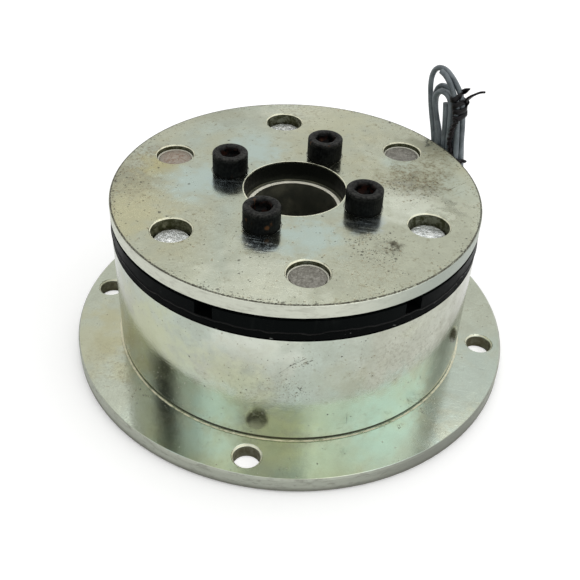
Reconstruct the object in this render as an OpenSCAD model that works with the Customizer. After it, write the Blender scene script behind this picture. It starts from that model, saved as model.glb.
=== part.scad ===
// Shaft-mounted electromagnetic brake: a flanged magnet body, and a drive plate
// whose sprung armature is pulled down on the body's rim.
// Millimetres. +Z is the shaft axis, and z = 0 is the mounting face of the flange.
// Angles are counted from the front (-Y) towards +X.

/* [Mounting flange] */
// Thickness of the flange
flange_t = 4.7; // [4:0.1:8]
// Distance of the mounting holes' circle from the body's wall
flange_hole_reach = 6.55; // [6:0.05:12]
// Flange left between the mounting holes' circle and the rim
flange_rim = 6.25; // [5:0.05:12]
// Diameter of each mounting hole
flange_hole_d = 7; // [5:0.1:8]
// Number of mounting holes
flange_holes = 4; // [3:1:4]
// Chamfer on the flange's rims and holes
flange_chamfer = 0.5; // [0.1:0.1:0.8]

/* [Magnet body] */
// Height of the body from the flange to its braking face
shell_h = 33.9; // [30:0.1:50]
// Steel left under the coil
shell_floor = 6.3; // [4:0.1:8]
// Wall of the inner pole between the bearing seat and the coil pocket
inner_pole_w = 6.5; // [6:0.1:9]
// Width of the coil pocket
pocket_w = 10; // [8:0.1:14]
// Width of the raised outer pole
outer_pole_w = 3; // [2:0.1:5]
// Width of the braking face
brake_face_w = 6.7; // [6:0.1:10]
// Height of the shoulder behind the bearing
shoulder_h = 2; // [1.8:0.1:2.4]
// Undercut where the body meets the flange
foot_undercut = 0.5; // [0.2:0.1:1]
// Height of the locating spigot in the pilot hole
spigot_h = 1.5; // [0.5:0.1:3]
// Width of the locating spigot
spigot_w = 2.5; // [1.5:0.1:3.5]

/* [Coil] */
// Wall thickness of the bobbin
bobbin_wall = 1; // [0.6:0.1:1.6]
// Depth of the winding below the rims of the bobbin
winding_inset = 0.6; // [0.2:0.1:2]
// Thickness of the potting over the bobbin
potting_t = 2.4; // [1:0.1:4]
// Depth of the potting's face below the poles
potting_inset = 0.4; // [0.2:0.1:1]

/* [Bearing] */
// Thickness of the bearing between its bore and its rim
bearing_section = 6; // [5.6:0.1:7]
// Width of the ball bearing
bearing_w = 7; // [6.1:0.1:9]
// Height of the bearing above the body's foot
bearing_rise = 8.3; // [7:0.1:12]
// Ball diameter
ball_d = 3.9; // [3.4:0.1:4.2]
// Number of balls
ball_count = 18; // [10:1:20]
// Free play of a ball in its raceway, on the radius
raceway_play = 0.05; // [0.02:0.01:0.1]
// Height of a raceway's land above the groove's bottom
land_h = 0.7; // [0.4:0.1:0.8]
// Thickness of each bearing seal
seal_t = 0.4; // [0.2:0.1:0.5]
// Height of the ball cage
cage_h = 5.2; // [4.8:0.1:5.6]

/* [Retaining rings] */
// Thickness of the retaining rings
circlip_t = 1.5; // [1:0.1:2]
// Depth of the grooves that hold them
circlip_groove = 0.9; // [0.5:0.1:1.1]
// Reach of the bearing seat's retaining ring into the bore
bore_circlip_reach = 2.2; // [1.5:0.1:2.4]
// Reach of the hub's retaining ring past the sleeve
hub_circlip_reach = 1.6; // [1:0.1:2]
// Opening of the retaining rings, in degrees
circlip_gap = 24; // [10:1:60]

/* [Hub] */
// Shaft bore
shaft_d = 24; // [20:0.5:30]
// Wall of the hub's sleeve
sleeve_wall = 5.5; // [5:0.1:8]
// Width of the keyway
key_w = 8; // [4:0.5:8]
// Depth of the keyway past the bore
key_depth = 3.3; // [2:0.1:3.7]
// Height of the hub's shoulder over the bearing
neck_step = 1.5; // [1:0.1:1.8]
// Steel left in the hub under each screw hole
tap_floor = 0.9; // [0.6:0.1:3]
// Depth of the recess under the drive plate's bore
hub_step = 1.9; // [1:0.1:3]
// Width of the ledge in the bore
hub_ledge_w = 1.8; // [1:0.1:2.4]
// Steel between the cap screws' circle and the hub's rim
hub_rim = 5.7; // [5:0.1:7]
// Height of the hub's lower end above the mounting face
hub_foot = 5; // [1:0.1:8]

/* [Drive plate] */
// Thickness of the drive plate
plate_t = 4; // [3.6:0.1:5]
// Chamfer on the drive plate's rims
plate_chamfer = 0.3; // [0.1:0.1:0.6]
// Gap between a rivet's head and its hole in the drive plate
rivet_gap = 0.6; // [0.3:0.05:0.9]
// Chamfer on the rivet holes
rivet_hole_chamfer = 0.35; // [0.1:0.05:0.6]
// Turn of the rotor as it stands, in degrees
rotor_angle = -14.7; // [-180:0.1:180]

/* [Cap screws] */
// Distance of the cap screws' circle from the drive plate's bore
screw_inset = 6; // [5.8:0.1:8]
// Number of cap screws
screw_count = 4; // [3:1:4]
// Thread diameter of the cap screws
screw_d = 6; // [4:0.1:7]
// Length of the cap screws under the head
screw_length = 10; // [8:0.5:14]
// Head diameter of the cap screws
screw_head_d = 9.8; // [8:0.1:10.4]
// Head height of the cap screws
screw_head_h = 6; // [4:0.1:8]
// Chamfer on the head and the tip of a cap screw
head_chamfer = 0.5; // [0.2:0.1:0.8]
// Width of the hex socket across its flats
socket_w = 5; // [3:0.1:5.6]
// Depth of the hex socket
socket_depth = 3; // [2:0.1:3.6]
// Gap between a head and the wall of its spot face
spot_gap = 0.3; // [0.2:0.1:0.8]
// Depth of the spot face
spot_depth = 0.3; // [0.1:0.1:1]

/* [Armature] */
// Air gap between the lining and the braking face
air_gap = 0.3; // [0.2:0.05:0.6]
// How far the poles stay back when the lining touches
pole_relief = 0.1; // [0.05:0.05:0.3]
// Thickness of the friction lining
lining_t = 2.2; // [1.8:0.1:3]
// Chamfer on the lining's rims
lining_chamfer = 0.15; // [0.1:0.05:0.4]
// Gap between the outer pole and the lining
lining_gap = 0.8; // [0.5:0.1:2]
// Thickness of the armature plate
armature_t = 3.7; // [3.2:0.1:6]
// Gap between the hub's rim and the armature plate
armature_gap = 1.5; // [1:0.1:3]
// Width of each notch in the armature's rim
notch_w = 4.8; // [3:0.1:8]
// Depth of each notch from the rim
notch_depth = 5.8; // [4:0.1:7]

/* [Leaf springs and rivets] */
// Distance of the rivets' circle from the armature's bore
rivet_inset = 10.7; // [9:0.1:12]
// Thickness of the leaf springs
spring_t = 0.6; // [0.4:0.1:1]
// Width of the leaf springs
spring_w = 10.8; // [10:0.1:12]
// Shank diameter of the rivets
rivet_shank_d = 5; // [4:0.1:5.6]
// Head diameter of the rivets
rivet_head_d = 9.4; // [8.4:0.1:10.4]
// Depth of a drive rivet's end below the plate's top face
drive_rivet_sink = 1.3; // [1:0.1:1.5]
// Height of each drive rivet's upper head
drive_head_h = 1.1; // [0.8:0.1:1.2]
// Height of each armature rivet's upper head
armature_head_h = 0.9; // [0.6:0.1:1.2]
// Height of each lower rivet head
rivet_foot_h = 1.1; // [0.6:0.1:1.4]

/* [Leads] */
// Diameter of each lead
lead_d = 1.6; // [1.2:0.1:1.8]
// Height of the leads' grommet above the flange
lead_rise = 8.3; // [6:0.1:14]
// Width of the folded leads
hank_w = 12; // [11:0.5:13]
// Length of the folded leads
hank_h = 66; // [60:0.5:70]
// Thickness of the folded leads
hank_t = 5.5; // [5:0.1:6]
// Lean of the folded leads along the brake's rim, in degrees
hank_lean = 10; // [0:1:12]
// Gap between the brake's rim and the folded leads
hank_gap = 1.05; // [0.5:0.05:1.5]
// Distance of the cable tie from the lower end of the folded leads
tie_rise = 55; // [50:0.5:56]
// Width of the cable tie
tie_w = 2.6; // [2:0.1:3.6]
// Thickness of the cable tie
tie_t = 1.1; // [0.8:0.1:1.4]
// Length of the tail of the cable tie
tie_tail = 9; // [6:0.5:10]

/* [Hidden] */
$fn = 96;

// Clearances between pieces
screw_clear = 0.3;
thread_clear = 0.05;
head_clear = 0.1;
groove_clear = 0.15;
spring_hole_clear = 0.05;
seal_clear = 0.15;
cage_clear = 0.35;
pocket_clear = 0.1;
rivet_pocket_clear = 1;
rivet_foot_inset = 0.1;
hub_flange_clear = 0.6;
inner_pole_gap = 1;
tap_clear = 1.5;

// How far a cutting shape runs past the face that it opens
past = 1;

// Diameters from the shaft outwards
bearing_bore_d = shaft_d + 2 * sleeve_wall;
bearing_d = bearing_bore_d + 2 * bearing_section;
shoulder_d = bearing_d - 2 * shoulder_h;
hub_neck_d = bearing_bore_d + 2 * neck_step;
pilot_d = bearing_d + 2 * spigot_w;
pocket_inner_d = bearing_d + 2 * inner_pole_w;
pocket_outer_d = pocket_inner_d + 2 * pocket_w;
pole_d = pocket_outer_d + 2 * outer_pole_w;
shell_d = pole_d + 2 * brake_face_w;
plate_d = shell_d;
flange_pcd = shell_d + 2 * flange_hole_reach;
flange_d = flange_pcd + 2 * flange_rim;
flange_screw_pcd = (pocket_outer_d + shell_d) / 2;
plate_bore_d = shaft_d + 2 * hub_ledge_w;
screw_pcd = plate_bore_d + 2 * screw_inset;
spot_d = screw_head_d + 2 * spot_gap;
hub_flange_d = screw_pcd + 2 * hub_rim;
hub_recess_d = hub_flange_d + 2 * inner_pole_gap;
armature_bore_d = hub_flange_d + 2 * armature_gap;
rivet_pcd = armature_bore_d + 2 * rivet_inset;
rivet_hole_d = rivet_head_d + 2 * rivet_gap;
lining_inner_d = pole_d + 2 * lining_gap;
hank_r = shell_d / 2 + hank_gap + hank_t / 2;

// Heights from the mounting face upwards
foot_z = flange_t;
pocket_z = foot_z + shell_floor;
ledge_z = foot_z + shell_h;
lining_z = ledge_z + air_gap;
armature_z = lining_z + lining_t;
armature_top_z = armature_z + armature_t;
pole_z = armature_z - air_gap - pole_relief;
spring_z = armature_top_z;
plate_z = spring_z + spring_t;
plate_top_z = plate_z + plate_t;
spot_z = plate_top_z - spot_depth;
tap_depth = screw_length - (plate_t - spot_depth) + tap_clear;
hub_flange_z = plate_z - tap_depth - tap_floor;
bearing_z = foot_z + bearing_rise;
shoulder_z = bearing_z + bearing_w;
ball_z = bearing_z + bearing_w / 2;
hub_recess_z = hub_flange_z - hub_flange_clear;
bobbin_z = pocket_z + head_clear;
potting_z = pole_z - potting_inset - potting_t;
bobbin_h = potting_z - bobbin_z;

// Radii that follow from the bearing
ball_pitch_r = (bearing_bore_d + bearing_d) / 4;
raceway_r = ball_d / 2 + raceway_play;
inner_land_r = ball_pitch_r - raceway_r + land_h;
outer_land_r = ball_pitch_r + raceway_r - land_h;

// Grommet that lets the leads out of the body
grommet_hole_r = 3.2;
grommet_collar_r = 4.4;
grommet_tip_r = 2.8;
grommet_lip_t = 1;
grommet_flat_r = grommet_collar_r + 0.2;
grommet_inner_r = pocket_outer_d / 2 + 0.5;
grommet_seat = 0.4;
grommet_collar_t = 3;
grommet_angle = 158;
grommet_z = foot_z + lead_rise;
grommet_face_r = shell_d / 2 - grommet_seat + grommet_collar_t;

// Countersunk screws that hold the flange on the body
flange_screw_d = 5;
flange_screw_head_d = 9.2;
flange_screw_sink = 0.2;
flange_screw_cone = 2.1;
flange_screw_length = 13.2;
flange_screws = 4;
flange_screw_socket_w = 3;
flange_screw_socket_depth = 1.6;

// Folded leads and their tie
hank_angle = 136;
hank_shift = 8.5;
hank_clear = 0.1;
tie_head_w = 4.6;
tie_head_t = 3.2;
tie_head_h = 4;
tie_head_drop = 0.7;
tie_tail_tilt = 24;

// The stretch of one lead from the grommet to the folded leads
lead_rings = [
    [19.5, 48.2, 12.1], [20.4, 50.6, 12.1], [22, 53, 11.6], [24.4, 54.4, 10.4],
    [27, 54, 8.8], [29.2, 52, 7.2], [31, 49.4, 6.1], [32.8, 46.6, 5.7], [34.8, 43.9, 5.6],
    [36.8, 41.3, 5.6], [38.8, 38.7, 5.6], [40.4, 36.4, 5.6], [41.6, 34.6, 5.7]
];
lead_pitch = lead_d + 0.2;
lead_sides = 8;

rivet_r = rivet_pcd / 2;
rivet_count = 3;
drive_rivet_angles = [for (i = [0:rivet_count - 1]) rotor_angle + 30 + i * 360 / rivet_count];
armature_rivet_angles = [for (a = drive_rivet_angles) a + 60];
notch_angles = [for (i = [0:5]) rotor_angle + i * 60];
key_angle = rotor_angle + 45;

// Places a child on a circle, its own -Y turned outwards
module at_angle(angle, r = 0) {
    rotate([0, 0, angle]) translate([0, -r, 0]) children();
}

// A turned ring with chamfered outer rims
module turned_ring(r_in, r_out, z, h, chamfer = 0) {
    rotate_extrude() polygon([
        [r_in, z], [r_out - chamfer, z], [r_out, z + chamfer],
        [r_out, z + h - chamfer], [r_out - chamfer, z + h], [r_in, z + h]
    ]);
}

// The space of a through hole with a chamfer at both mouths
module chamfered_hole(r, z, h, chamfer) {
    translate([0, 0, z - past]) cylinder(r = r, h = h + 2 * past);
    translate([0, 0, z - chamfer]) cylinder(r1 = r + 2 * chamfer, r2 = r, h = 2 * chamfer);
    translate([0, 0, z + h - chamfer]) cylinder(r1 = r, r2 = r + 2 * chamfer, h = 2 * chamfer);
}

// A six-sided socket, cut down from z
module hex_socket(width, z, depth) {
    translate([0, 0, z - depth])
        cylinder(r = width / sqrt(3), h = depth + past, $fn = 6);
}

// A flat strap with round ends from one point to another
module strap(from, to, width) {
    run = to - from;
    for (p = [from, to]) translate(p) circle(r = width / 2);
    translate(from) rotate(atan2(run[1], run[0]))
        translate([0, -width / 2]) square([norm(run), width]);
}

// Mounting flange with its pilot hole
module mounting_flange() {
    color("darkkhaki")
    difference() {
        turned_ring(pilot_d / 2, flange_d / 2, 0, flange_t, flange_chamfer);
        for (i = [0:flange_holes - 1])
            at_angle(i * 360 / flange_holes, flange_pcd / 2)
                chamfered_hole(flange_hole_d / 2, 0, flange_t, flange_chamfer);
        for (i = [1:flange_screws])
            at_angle(flange_screw_angle(i), flange_screw_pcd / 2)
                flange_screw_space(thread_clear);
    }
}

function flange_screw_angle(i) = 45 + (i - 1) * 360 / flange_screws;

// Outline of a countersunk screw, grown on all sides
module flange_screw_space(grow) {
    head_r = flange_screw_head_d / 2 + grow;
    translate([0, 0, -past]) cylinder(r = head_r, h = past + flange_screw_sink);
    flange_screw_body(grow);
}

module flange_screw_body(grow) {
    head_r = flange_screw_head_d / 2 + grow;
    shank_r = flange_screw_d / 2 + grow;
    translate([0, 0, flange_screw_sink])
        cylinder(r1 = head_r, r2 = shank_r, h = flange_screw_cone);
    translate([0, 0, flange_screw_sink + flange_screw_cone])
        cylinder(r = shank_r, h = flange_screw_length - flange_screw_cone + grow);
}

// Countersunk screw with a hex socket
module flange_screw(i) {
    color("dimgray")
    at_angle(flange_screw_angle(i), flange_screw_pcd / 2)
    difference() {
        flange_screw_body(0);
        translate([0, 0, flange_screw_sink]) mirror([0, 0, 1])
            hex_socket(flange_screw_socket_w, 0, flange_screw_socket_depth);
    }
}

// Steel cup of the magnet: inner pole, coil pocket, outer pole and braking face
module field_shell() {
    body_r = shell_d / 2;
    seat_r = bearing_d / 2;
    color("lightgray")
    difference() {
        rotate_extrude() polygon([
            [seat_r, foot_z - spigot_h],
            [pilot_d / 2 - thread_clear, foot_z - spigot_h],
            [pilot_d / 2 - thread_clear, foot_z],
            [body_r - foot_undercut, foot_z],
            [body_r - foot_undercut, foot_z + foot_undercut],
            [body_r, foot_z + 2 * foot_undercut],
            [body_r, ledge_z],
            [pole_d / 2, ledge_z],
            [pole_d / 2, pole_z],
            [pocket_outer_d / 2, pole_z],
            [pocket_outer_d / 2, pocket_z],
            [pocket_inner_d / 2, pocket_z],
            [pocket_inner_d / 2, pole_z],
            [hub_recess_d / 2, pole_z],
            [hub_recess_d / 2, hub_recess_z],
            [shoulder_d / 2, hub_recess_z],
            [shoulder_d / 2, shoulder_z],
            [seat_r, shoulder_z]
        ]);
        bore_groove();
        grommet_space();
        for (i = [1:flange_screws])
            at_angle(flange_screw_angle(i), flange_screw_pcd / 2)
                flange_screw_body(thread_clear);
    }
}

// Groove of the retaining ring in the bearing seat
module bore_groove() {
    turned_ring(bearing_d / 2 - past, bearing_d / 2 + circlip_groove + groove_clear,
        bearing_z - circlip_t - groove_clear, circlip_t + groove_clear);
}

// Hole for the leads in the body's wall, with a flat for the grommet's collar
module grommet_space() {
    at_angle(grommet_angle) translate([0, 0, grommet_z]) rotate([90, 0, 0]) {
        translate([0, 0, pocket_outer_d / 2 - past])
            cylinder(r = grommet_hole_r, h = shell_d / 2);
        translate([0, 0, shell_d / 2 - grommet_seat])
            cylinder(r = grommet_flat_r, h = shell_d / 2);
    }
}

// Rubber grommet where the leads leave the body
module lead_grommet() {
    face = grommet_face_r;
    seat = shell_d / 2 - grommet_seat;
    color([0.12, 0.12, 0.13])
    at_angle(grommet_angle) translate([0, 0, grommet_z]) rotate([90, 0, 0])
        rotate_extrude() polygon([
            [0, grommet_inner_r], [grommet_hole_r, grommet_inner_r],
            [grommet_hole_r, seat], [grommet_collar_r, seat],
            [grommet_collar_r, seat + grommet_lip_t], [grommet_tip_r, face], [0, face]
        ]);
}

// Moulded bobbin that carries the winding
module coil_bobbin() {
    r_in = pocket_inner_d / 2 + head_clear;
    r_out = pocket_outer_d / 2 - head_clear;
    z = bobbin_z;
    color("ivory")
    rotate_extrude() polygon([
        [r_in, z], [r_out, z], [r_out, z + bobbin_wall],
        [r_in + bobbin_wall, z + bobbin_wall],
        [r_in + bobbin_wall, z + bobbin_h - bobbin_wall],
        [r_out, z + bobbin_h - bobbin_wall], [r_out, z + bobbin_h], [r_in, z + bobbin_h]
    ]);
}

// Copper winding, as one ring between the bobbin's walls
module coil_winding() {
    color("peru")
    turned_ring(pocket_inner_d / 2 + head_clear + bobbin_wall,
        pocket_outer_d / 2 - head_clear - winding_inset,
        bobbin_z + bobbin_wall, bobbin_h - 2 * bobbin_wall);
}

// Potting that closes the pocket over the coil
module coil_potting() {
    color("darkslategray")
    turned_ring(pocket_inner_d / 2, pocket_outer_d / 2, potting_z, potting_t);
}

// Space swept by the balls in both rings
module raceway() {
    rotate_extrude() translate([ball_pitch_r, ball_z]) circle(r = raceway_r, $fn = 48);
}

module bearing_outer_ring() {
    color("silver")
    difference() {
        turned_ring(outer_land_r, bearing_d / 2, bearing_z, bearing_w);
        raceway();
    }
}

module bearing_inner_ring() {
    color("silver")
    difference() {
        turned_ring(bearing_bore_d / 2, inner_land_r, bearing_z, bearing_w);
        raceway();
    }
}

// Ring with one drilled pocket for each ball
module bearing_cage() {
    color("goldenrod")
    difference() {
        turned_ring(inner_land_r + cage_clear, outer_land_r - cage_clear,
            ball_z - cage_h / 2, cage_h);
        each_ball() rotate([90, 0, 0])
            cylinder(r = ball_d / 2 + pocket_clear, h = ball_d, center = true);
    }
}

module bearing_balls() {
    color("lightsteelblue") each_ball() sphere(r = ball_d / 2, $fn = 32);
}

module each_ball() {
    for (i = [0:ball_count - 1])
        at_angle(i * 360 / ball_count, ball_pitch_r) translate([0, 0, ball_z]) children();
}

// Thin seal held by the outer ring
module bearing_seal(z) {
    color("black") turned_ring(inner_land_r + seal_clear, outer_land_r, z, seal_t);
}

// A wedge from the axis outwards, as wide as the opening of a retaining ring
module circlip_opening(z) {
    reach = bearing_d;
    half = circlip_gap / 2;
    translate([0, 0, z - past]) linear_extrude(circlip_t + 2 * past)
        polygon([[0, 0], [-reach * sin(half), -reach * cos(half)],
            [reach * sin(half), -reach * cos(half)]]);
}

// Open ring that holds the bearing's outer ring in the body
module bore_retaining_ring() {
    z = bearing_z - circlip_t;
    seat_r = bearing_d / 2;
    color("dimgray")
    difference() {
        turned_ring(seat_r - bore_circlip_reach, seat_r + circlip_groove, z, circlip_t);
        circlip_opening(z);
    }
}

// Open ring that holds the bearing's inner ring on the hub
module hub_retaining_ring() {
    z = bearing_z - circlip_t;
    seat_r = bearing_bore_d / 2;
    color("dimgray")
    difference() {
        turned_ring(seat_r - circlip_groove, seat_r + hub_circlip_reach, z, circlip_t);
        rotate([0, 0, 180]) circlip_opening(z);
    }
}

// Hub that carries the drive plate on the shaft
module hub() {
    sleeve_r = bearing_bore_d / 2;
    groove_r = sleeve_r - circlip_groove;
    groove_z = bearing_z - circlip_t - groove_clear;
    color("gray")
    difference() {
        rotate_extrude() polygon([
            [shaft_d / 2, hub_foot], [groove_r, hub_foot],
            [sleeve_r, hub_foot + circlip_groove],
            [sleeve_r, groove_z], [groove_r, groove_z], [groove_r, bearing_z],
            [sleeve_r, bearing_z], [sleeve_r, shoulder_z],
            [hub_neck_d / 2, shoulder_z], [hub_neck_d / 2, hub_flange_z],
            [hub_flange_d / 2, hub_flange_z], [hub_flange_d / 2, plate_z],
            [plate_bore_d / 2, plate_z], [plate_bore_d / 2, plate_z - hub_step],
            [shaft_d / 2, plate_z - hub_step]
        ]);
        rotate([0, 0, key_angle])
            translate([-key_w / 2, -shaft_d / 2 - key_depth, hub_foot - past])
            cube([key_w, shaft_d / 2 + key_depth, plate_z]);
        for (i = [1:screw_count])
            at_angle(screw_angle(i), screw_pcd / 2) translate([0, 0, plate_z - tap_depth])
                cylinder(r = screw_d / 2 + thread_clear, h = tap_depth + past);
    }
}

function screw_angle(i) = rotor_angle + (i - 1) * 360 / screw_count;

// Drive plate: bore, cap screws' holes, and six rivet holes
module drive_plate() {
    color([0.72, 0.74, 0.66])
    difference() {
        turned_ring(plate_bore_d / 2, plate_d / 2, plate_z, plate_t, plate_chamfer);
        for (i = [1:screw_count]) at_angle(screw_angle(i), screw_pcd / 2) {
            translate([0, 0, plate_z - past])
                cylinder(r = screw_d / 2 + screw_clear, h = plate_t + 2 * past);
            translate([0, 0, spot_z]) cylinder(r = spot_d / 2, h = spot_depth + past);
        }
        for (a = armature_rivet_angles) at_angle(a, rivet_r)
            chamfered_hole(rivet_hole_d / 2, plate_z, plate_t, rivet_hole_chamfer);
        for (a = drive_rivet_angles) at_angle(a, rivet_r) drive_rivet_space();
    }
}

// Counterbore and shank hole of a drive rivet
module drive_rivet_space() {
    chamfer = rivet_hole_chamfer;
    seat_z = plate_top_z - drive_rivet_sink - drive_head_h;
    translate([0, 0, plate_z - past]) cylinder(r = rivet_shank_d / 2, h = plate_t);
    translate([0, 0, seat_z]) cylinder(r = rivet_hole_d / 2, h = plate_t);
    translate([0, 0, plate_top_z - chamfer])
        cylinder(r1 = rivet_hole_d / 2, r2 = rivet_hole_d / 2 + 2 * chamfer, h = 2 * chamfer);
}

// Socket head cap screw, its head in the spot face
module cap_screw(i) {
    head_r = screw_head_d / 2;
    top_z = spot_z + screw_head_h;
    color([0.1, 0.1, 0.11])
    at_angle(screw_angle(i), screw_pcd / 2)
    difference() {
        rotate_extrude() polygon([
            [0, spot_z - screw_length], [screw_d / 2 - head_chamfer, spot_z - screw_length],
            [screw_d / 2, spot_z - screw_length + head_chamfer], [screw_d / 2, spot_z],
            [head_r, spot_z], [head_r, top_z - head_chamfer],
            [head_r - head_chamfer, top_z], [0, top_z]
        ]);
        hex_socket(socket_w, top_z, socket_depth);
    }
}

// Rivet with an upper head, a shank and a lower head
module rivet(top_z, head_z, foot_top_z, foot_z_low) {
    rotate_extrude() polygon([
        [0, foot_z_low], [rivet_head_d / 2, foot_z_low], [rivet_head_d / 2, foot_top_z],
        [rivet_shank_d / 2, foot_top_z], [rivet_shank_d / 2, head_z],
        [rivet_head_d / 2, head_z], [rivet_head_d / 2, top_z], [0, top_z]
    ]);
}

// Rivet that fixes one end of a leaf spring to the drive plate
module drive_rivet(i) {
    top_z = plate_top_z - drive_rivet_sink;
    color("rosybrown") at_angle(drive_rivet_angles[i - 1], rivet_r)
        rivet(top_z, top_z - drive_head_h, spring_z, spring_z - rivet_foot_h);
}

// Rivet that fixes the other end of a leaf spring to the armature
module armature_rivet(i) {
    foot_low = armature_z + rivet_foot_inset;
    color("gainsboro") at_angle(armature_rivet_angles[i - 1], rivet_r)
        rivet(plate_z + armature_head_h, plate_z, foot_low + rivet_foot_h, foot_low);
}

// Strap from a drive rivet to the next armature rivet
module leaf_spring(i) {
    half_turn = (armature_rivet_angles[i - 1] - drive_rivet_angles[i - 1]) / 2;
    end_x = rivet_r * sin(half_turn);
    hole_r = rivet_shank_d / 2 + spring_hole_clear;
    color("slategray")
    at_angle(drive_rivet_angles[i - 1] + half_turn, rivet_r * cos(half_turn))
    translate([0, 0, spring_z]) linear_extrude(spring_t)
    difference() {
        strap([-end_x, 0], [end_x, 0], spring_w);
        for (x = [-end_x, end_x]) translate([x, 0]) circle(r = hole_r);
    }
}

// Steel ring with notched rim that the coil attracts
module armature_plate() {
    rim_r = shell_d / 2;
    foot_r = rivet_head_d / 2 + head_clear;
    color([0.16, 0.17, 0.18])
    difference() {
        turned_ring(armature_bore_d / 2, rim_r, armature_z, armature_t);
        for (a = notch_angles) at_angle(a) notch(rim_r);
        for (a = drive_rivet_angles) at_angle(a, rivet_r)
            translate([0, 0, armature_z - past])
                cylinder(r = rivet_head_d / 2 + rivet_pocket_clear, h = armature_t + 2 * past);
        for (a = armature_rivet_angles) at_angle(a, rivet_r) {
            translate([0, 0, armature_z - past])
                cylinder(r = rivet_shank_d / 2, h = armature_t + 2 * past);
            translate([0, 0, armature_z - past])
                cylinder(r = foot_r, h = past + rivet_foot_inset + rivet_foot_h);
        }
    }
}

// One open notch in the rim, round at its inner end
module notch(rim_r) {
    end_r = rim_r - notch_depth + notch_w / 2;
    translate([0, 0, armature_z - past]) linear_extrude(armature_t + 2 * past) {
        translate([0, -end_r]) circle(r = notch_w / 2);
        translate([-notch_w / 2, -rim_r - past]) square([notch_w, rim_r + past - end_r]);
    }
}

// Friction ring bonded under the armature's rim
module friction_lining() {
    color([0.08, 0.08, 0.08])
    turned_ring(lining_inner_d / 2, shell_d / 2, lining_z, lining_t, lining_chamfer);
}

// Tube of a lead along its rings, one ring of points at each
module lead(rise) {
    points = [for (p = lead_rings) p + [0, 0, rise]];
    last = len(points) - 1;
    skin = [for (k = [0:last]) each ring_of_points(points, k, last)];
    n = lead_sides;
    sides = [for (k = [0:last - 1], j = [0:n - 1])
        let (a = k * n + j, b = k * n + (j + 1) % n)
        each [[a, b, b + n], [a, b + n, a + n]]];
    start = [[for (j = [n - 1:-1:0]) j]];
    end = [[for (j = [0:n - 1]) last * n + j]];
    color([0.3, 0.32, 0.33]) polyhedron(points = skin, faces = concat(sides, start, end));
}

function unit(v) = v / norm(v);

function ring_of_points(points, k, last) =
    let (
        along = unit(points[min(k + 1, last)] - points[max(k - 1, 0)]),
        across = unit(cross(along, [0, 0, 1])),
        up = cross(across, along)
    )
    [for (j = [0:lead_sides - 1])
        let (a = j * 360 / lead_sides)
        points[k] + lead_d / 2 * (across * sin(a) + up * cos(a))];

// Places a child at the lower end of the folded leads, its own Z along them
module on_hank() {
    end_r = hank_w / 2;
    at_angle(hank_angle, hank_r) translate([-hank_shift, 0, foot_z + end_r])
        rotate([0, hank_lean, 0]) translate([0, 0, -end_r]) children();
}

// Outer shape of both leads, folded and stood on the flange
module lead_hank() {
    end_r = hank_w / 2;
    color([0.3, 0.32, 0.33])
    on_hank() translate([0, hank_t / 2, 0]) rotate([90, 0, 0]) linear_extrude(hank_t)
        strap([0, end_r], [0, hank_h - end_r], hank_w);
}

// Band of the tie round the folded leads, with its head and tail
module cable_tie() {
    in_w = hank_w + 2 * hank_clear;
    in_t = hank_t + 2 * hank_clear;
    head_y = -in_t / 2 - tie_head_t;
    color("black")
    on_hank() translate([0, 0, tie_rise]) {
        linear_extrude(tie_w) difference() {
            square([in_w + 2 * tie_t, in_t + 2 * tie_t], center = true);
            square([in_w, in_t], center = true);
        }
        translate([-in_w / 2, head_y, -tie_head_drop])
            cube([tie_head_w, tie_head_t, tie_head_h]);
        translate([(tie_head_w - in_w) / 2, head_y + (tie_head_t - tie_t) / 2, tie_w / 2])
            rotate([0, tie_tail_tilt, 0]) translate([-tie_tail - tie_head_w / 2, 0, -tie_w / 2])
            cube([tie_tail + tie_head_w / 2, tie_t, tie_w]);
    }
}

mounting_flange();
field_shell();
coil_bobbin();
coil_winding();
coil_potting();
for (i = [1:flange_screws])
    flange_screw(i);
bearing_outer_ring();
bearing_inner_ring();
bearing_cage();
bearing_balls();
bearing_seal(bearing_z);  // bearing_lower_seal
bearing_seal(shoulder_z - seal_t);  // bearing_upper_seal
bore_retaining_ring();
hub_retaining_ring();
hub();
drive_plate();
for (i = [1:screw_count])
    cap_screw(i);
for (i = [1:rivet_count])
    drive_rivet(i);
for (i = [1:rivet_count])
    leaf_spring(i);
armature_plate();
friction_lining();
for (i = [1:rivet_count])
    armature_rivet(i);
lead_grommet();
lead(0);  // lead_1
lead(lead_pitch);  // lead_2
lead_hank();
cable_tie();
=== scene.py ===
"""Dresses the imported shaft-mounted brake: finishes, fasteners, leads, and a plain studio.

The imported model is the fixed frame. Every piece is made in metres in that frame: z = 0 is
the flange's mounting face, +Z the shaft axis, and angles run from the front (-Y) towards +X.
"""

from __future__ import annotations

import logging
import math
from collections.abc import Callable, Sequence
from dataclasses import dataclass, field
from enum import Enum

import bmesh
import bpy
from mathutils import Euler, Matrix, Vector


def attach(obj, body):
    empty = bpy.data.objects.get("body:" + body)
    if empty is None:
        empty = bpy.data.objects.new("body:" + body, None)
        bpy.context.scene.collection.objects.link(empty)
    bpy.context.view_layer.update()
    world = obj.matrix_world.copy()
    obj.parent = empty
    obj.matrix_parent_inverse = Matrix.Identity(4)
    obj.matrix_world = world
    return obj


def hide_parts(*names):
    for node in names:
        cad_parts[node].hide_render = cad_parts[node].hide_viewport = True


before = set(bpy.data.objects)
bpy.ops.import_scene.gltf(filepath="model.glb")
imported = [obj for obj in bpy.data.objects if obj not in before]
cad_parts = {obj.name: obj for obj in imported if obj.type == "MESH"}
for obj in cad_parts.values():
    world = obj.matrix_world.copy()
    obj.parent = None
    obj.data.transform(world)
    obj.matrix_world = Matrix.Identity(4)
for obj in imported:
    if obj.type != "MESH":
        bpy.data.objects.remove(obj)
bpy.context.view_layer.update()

MM = 0.001
LOG = logging.getLogger("brake")

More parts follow.
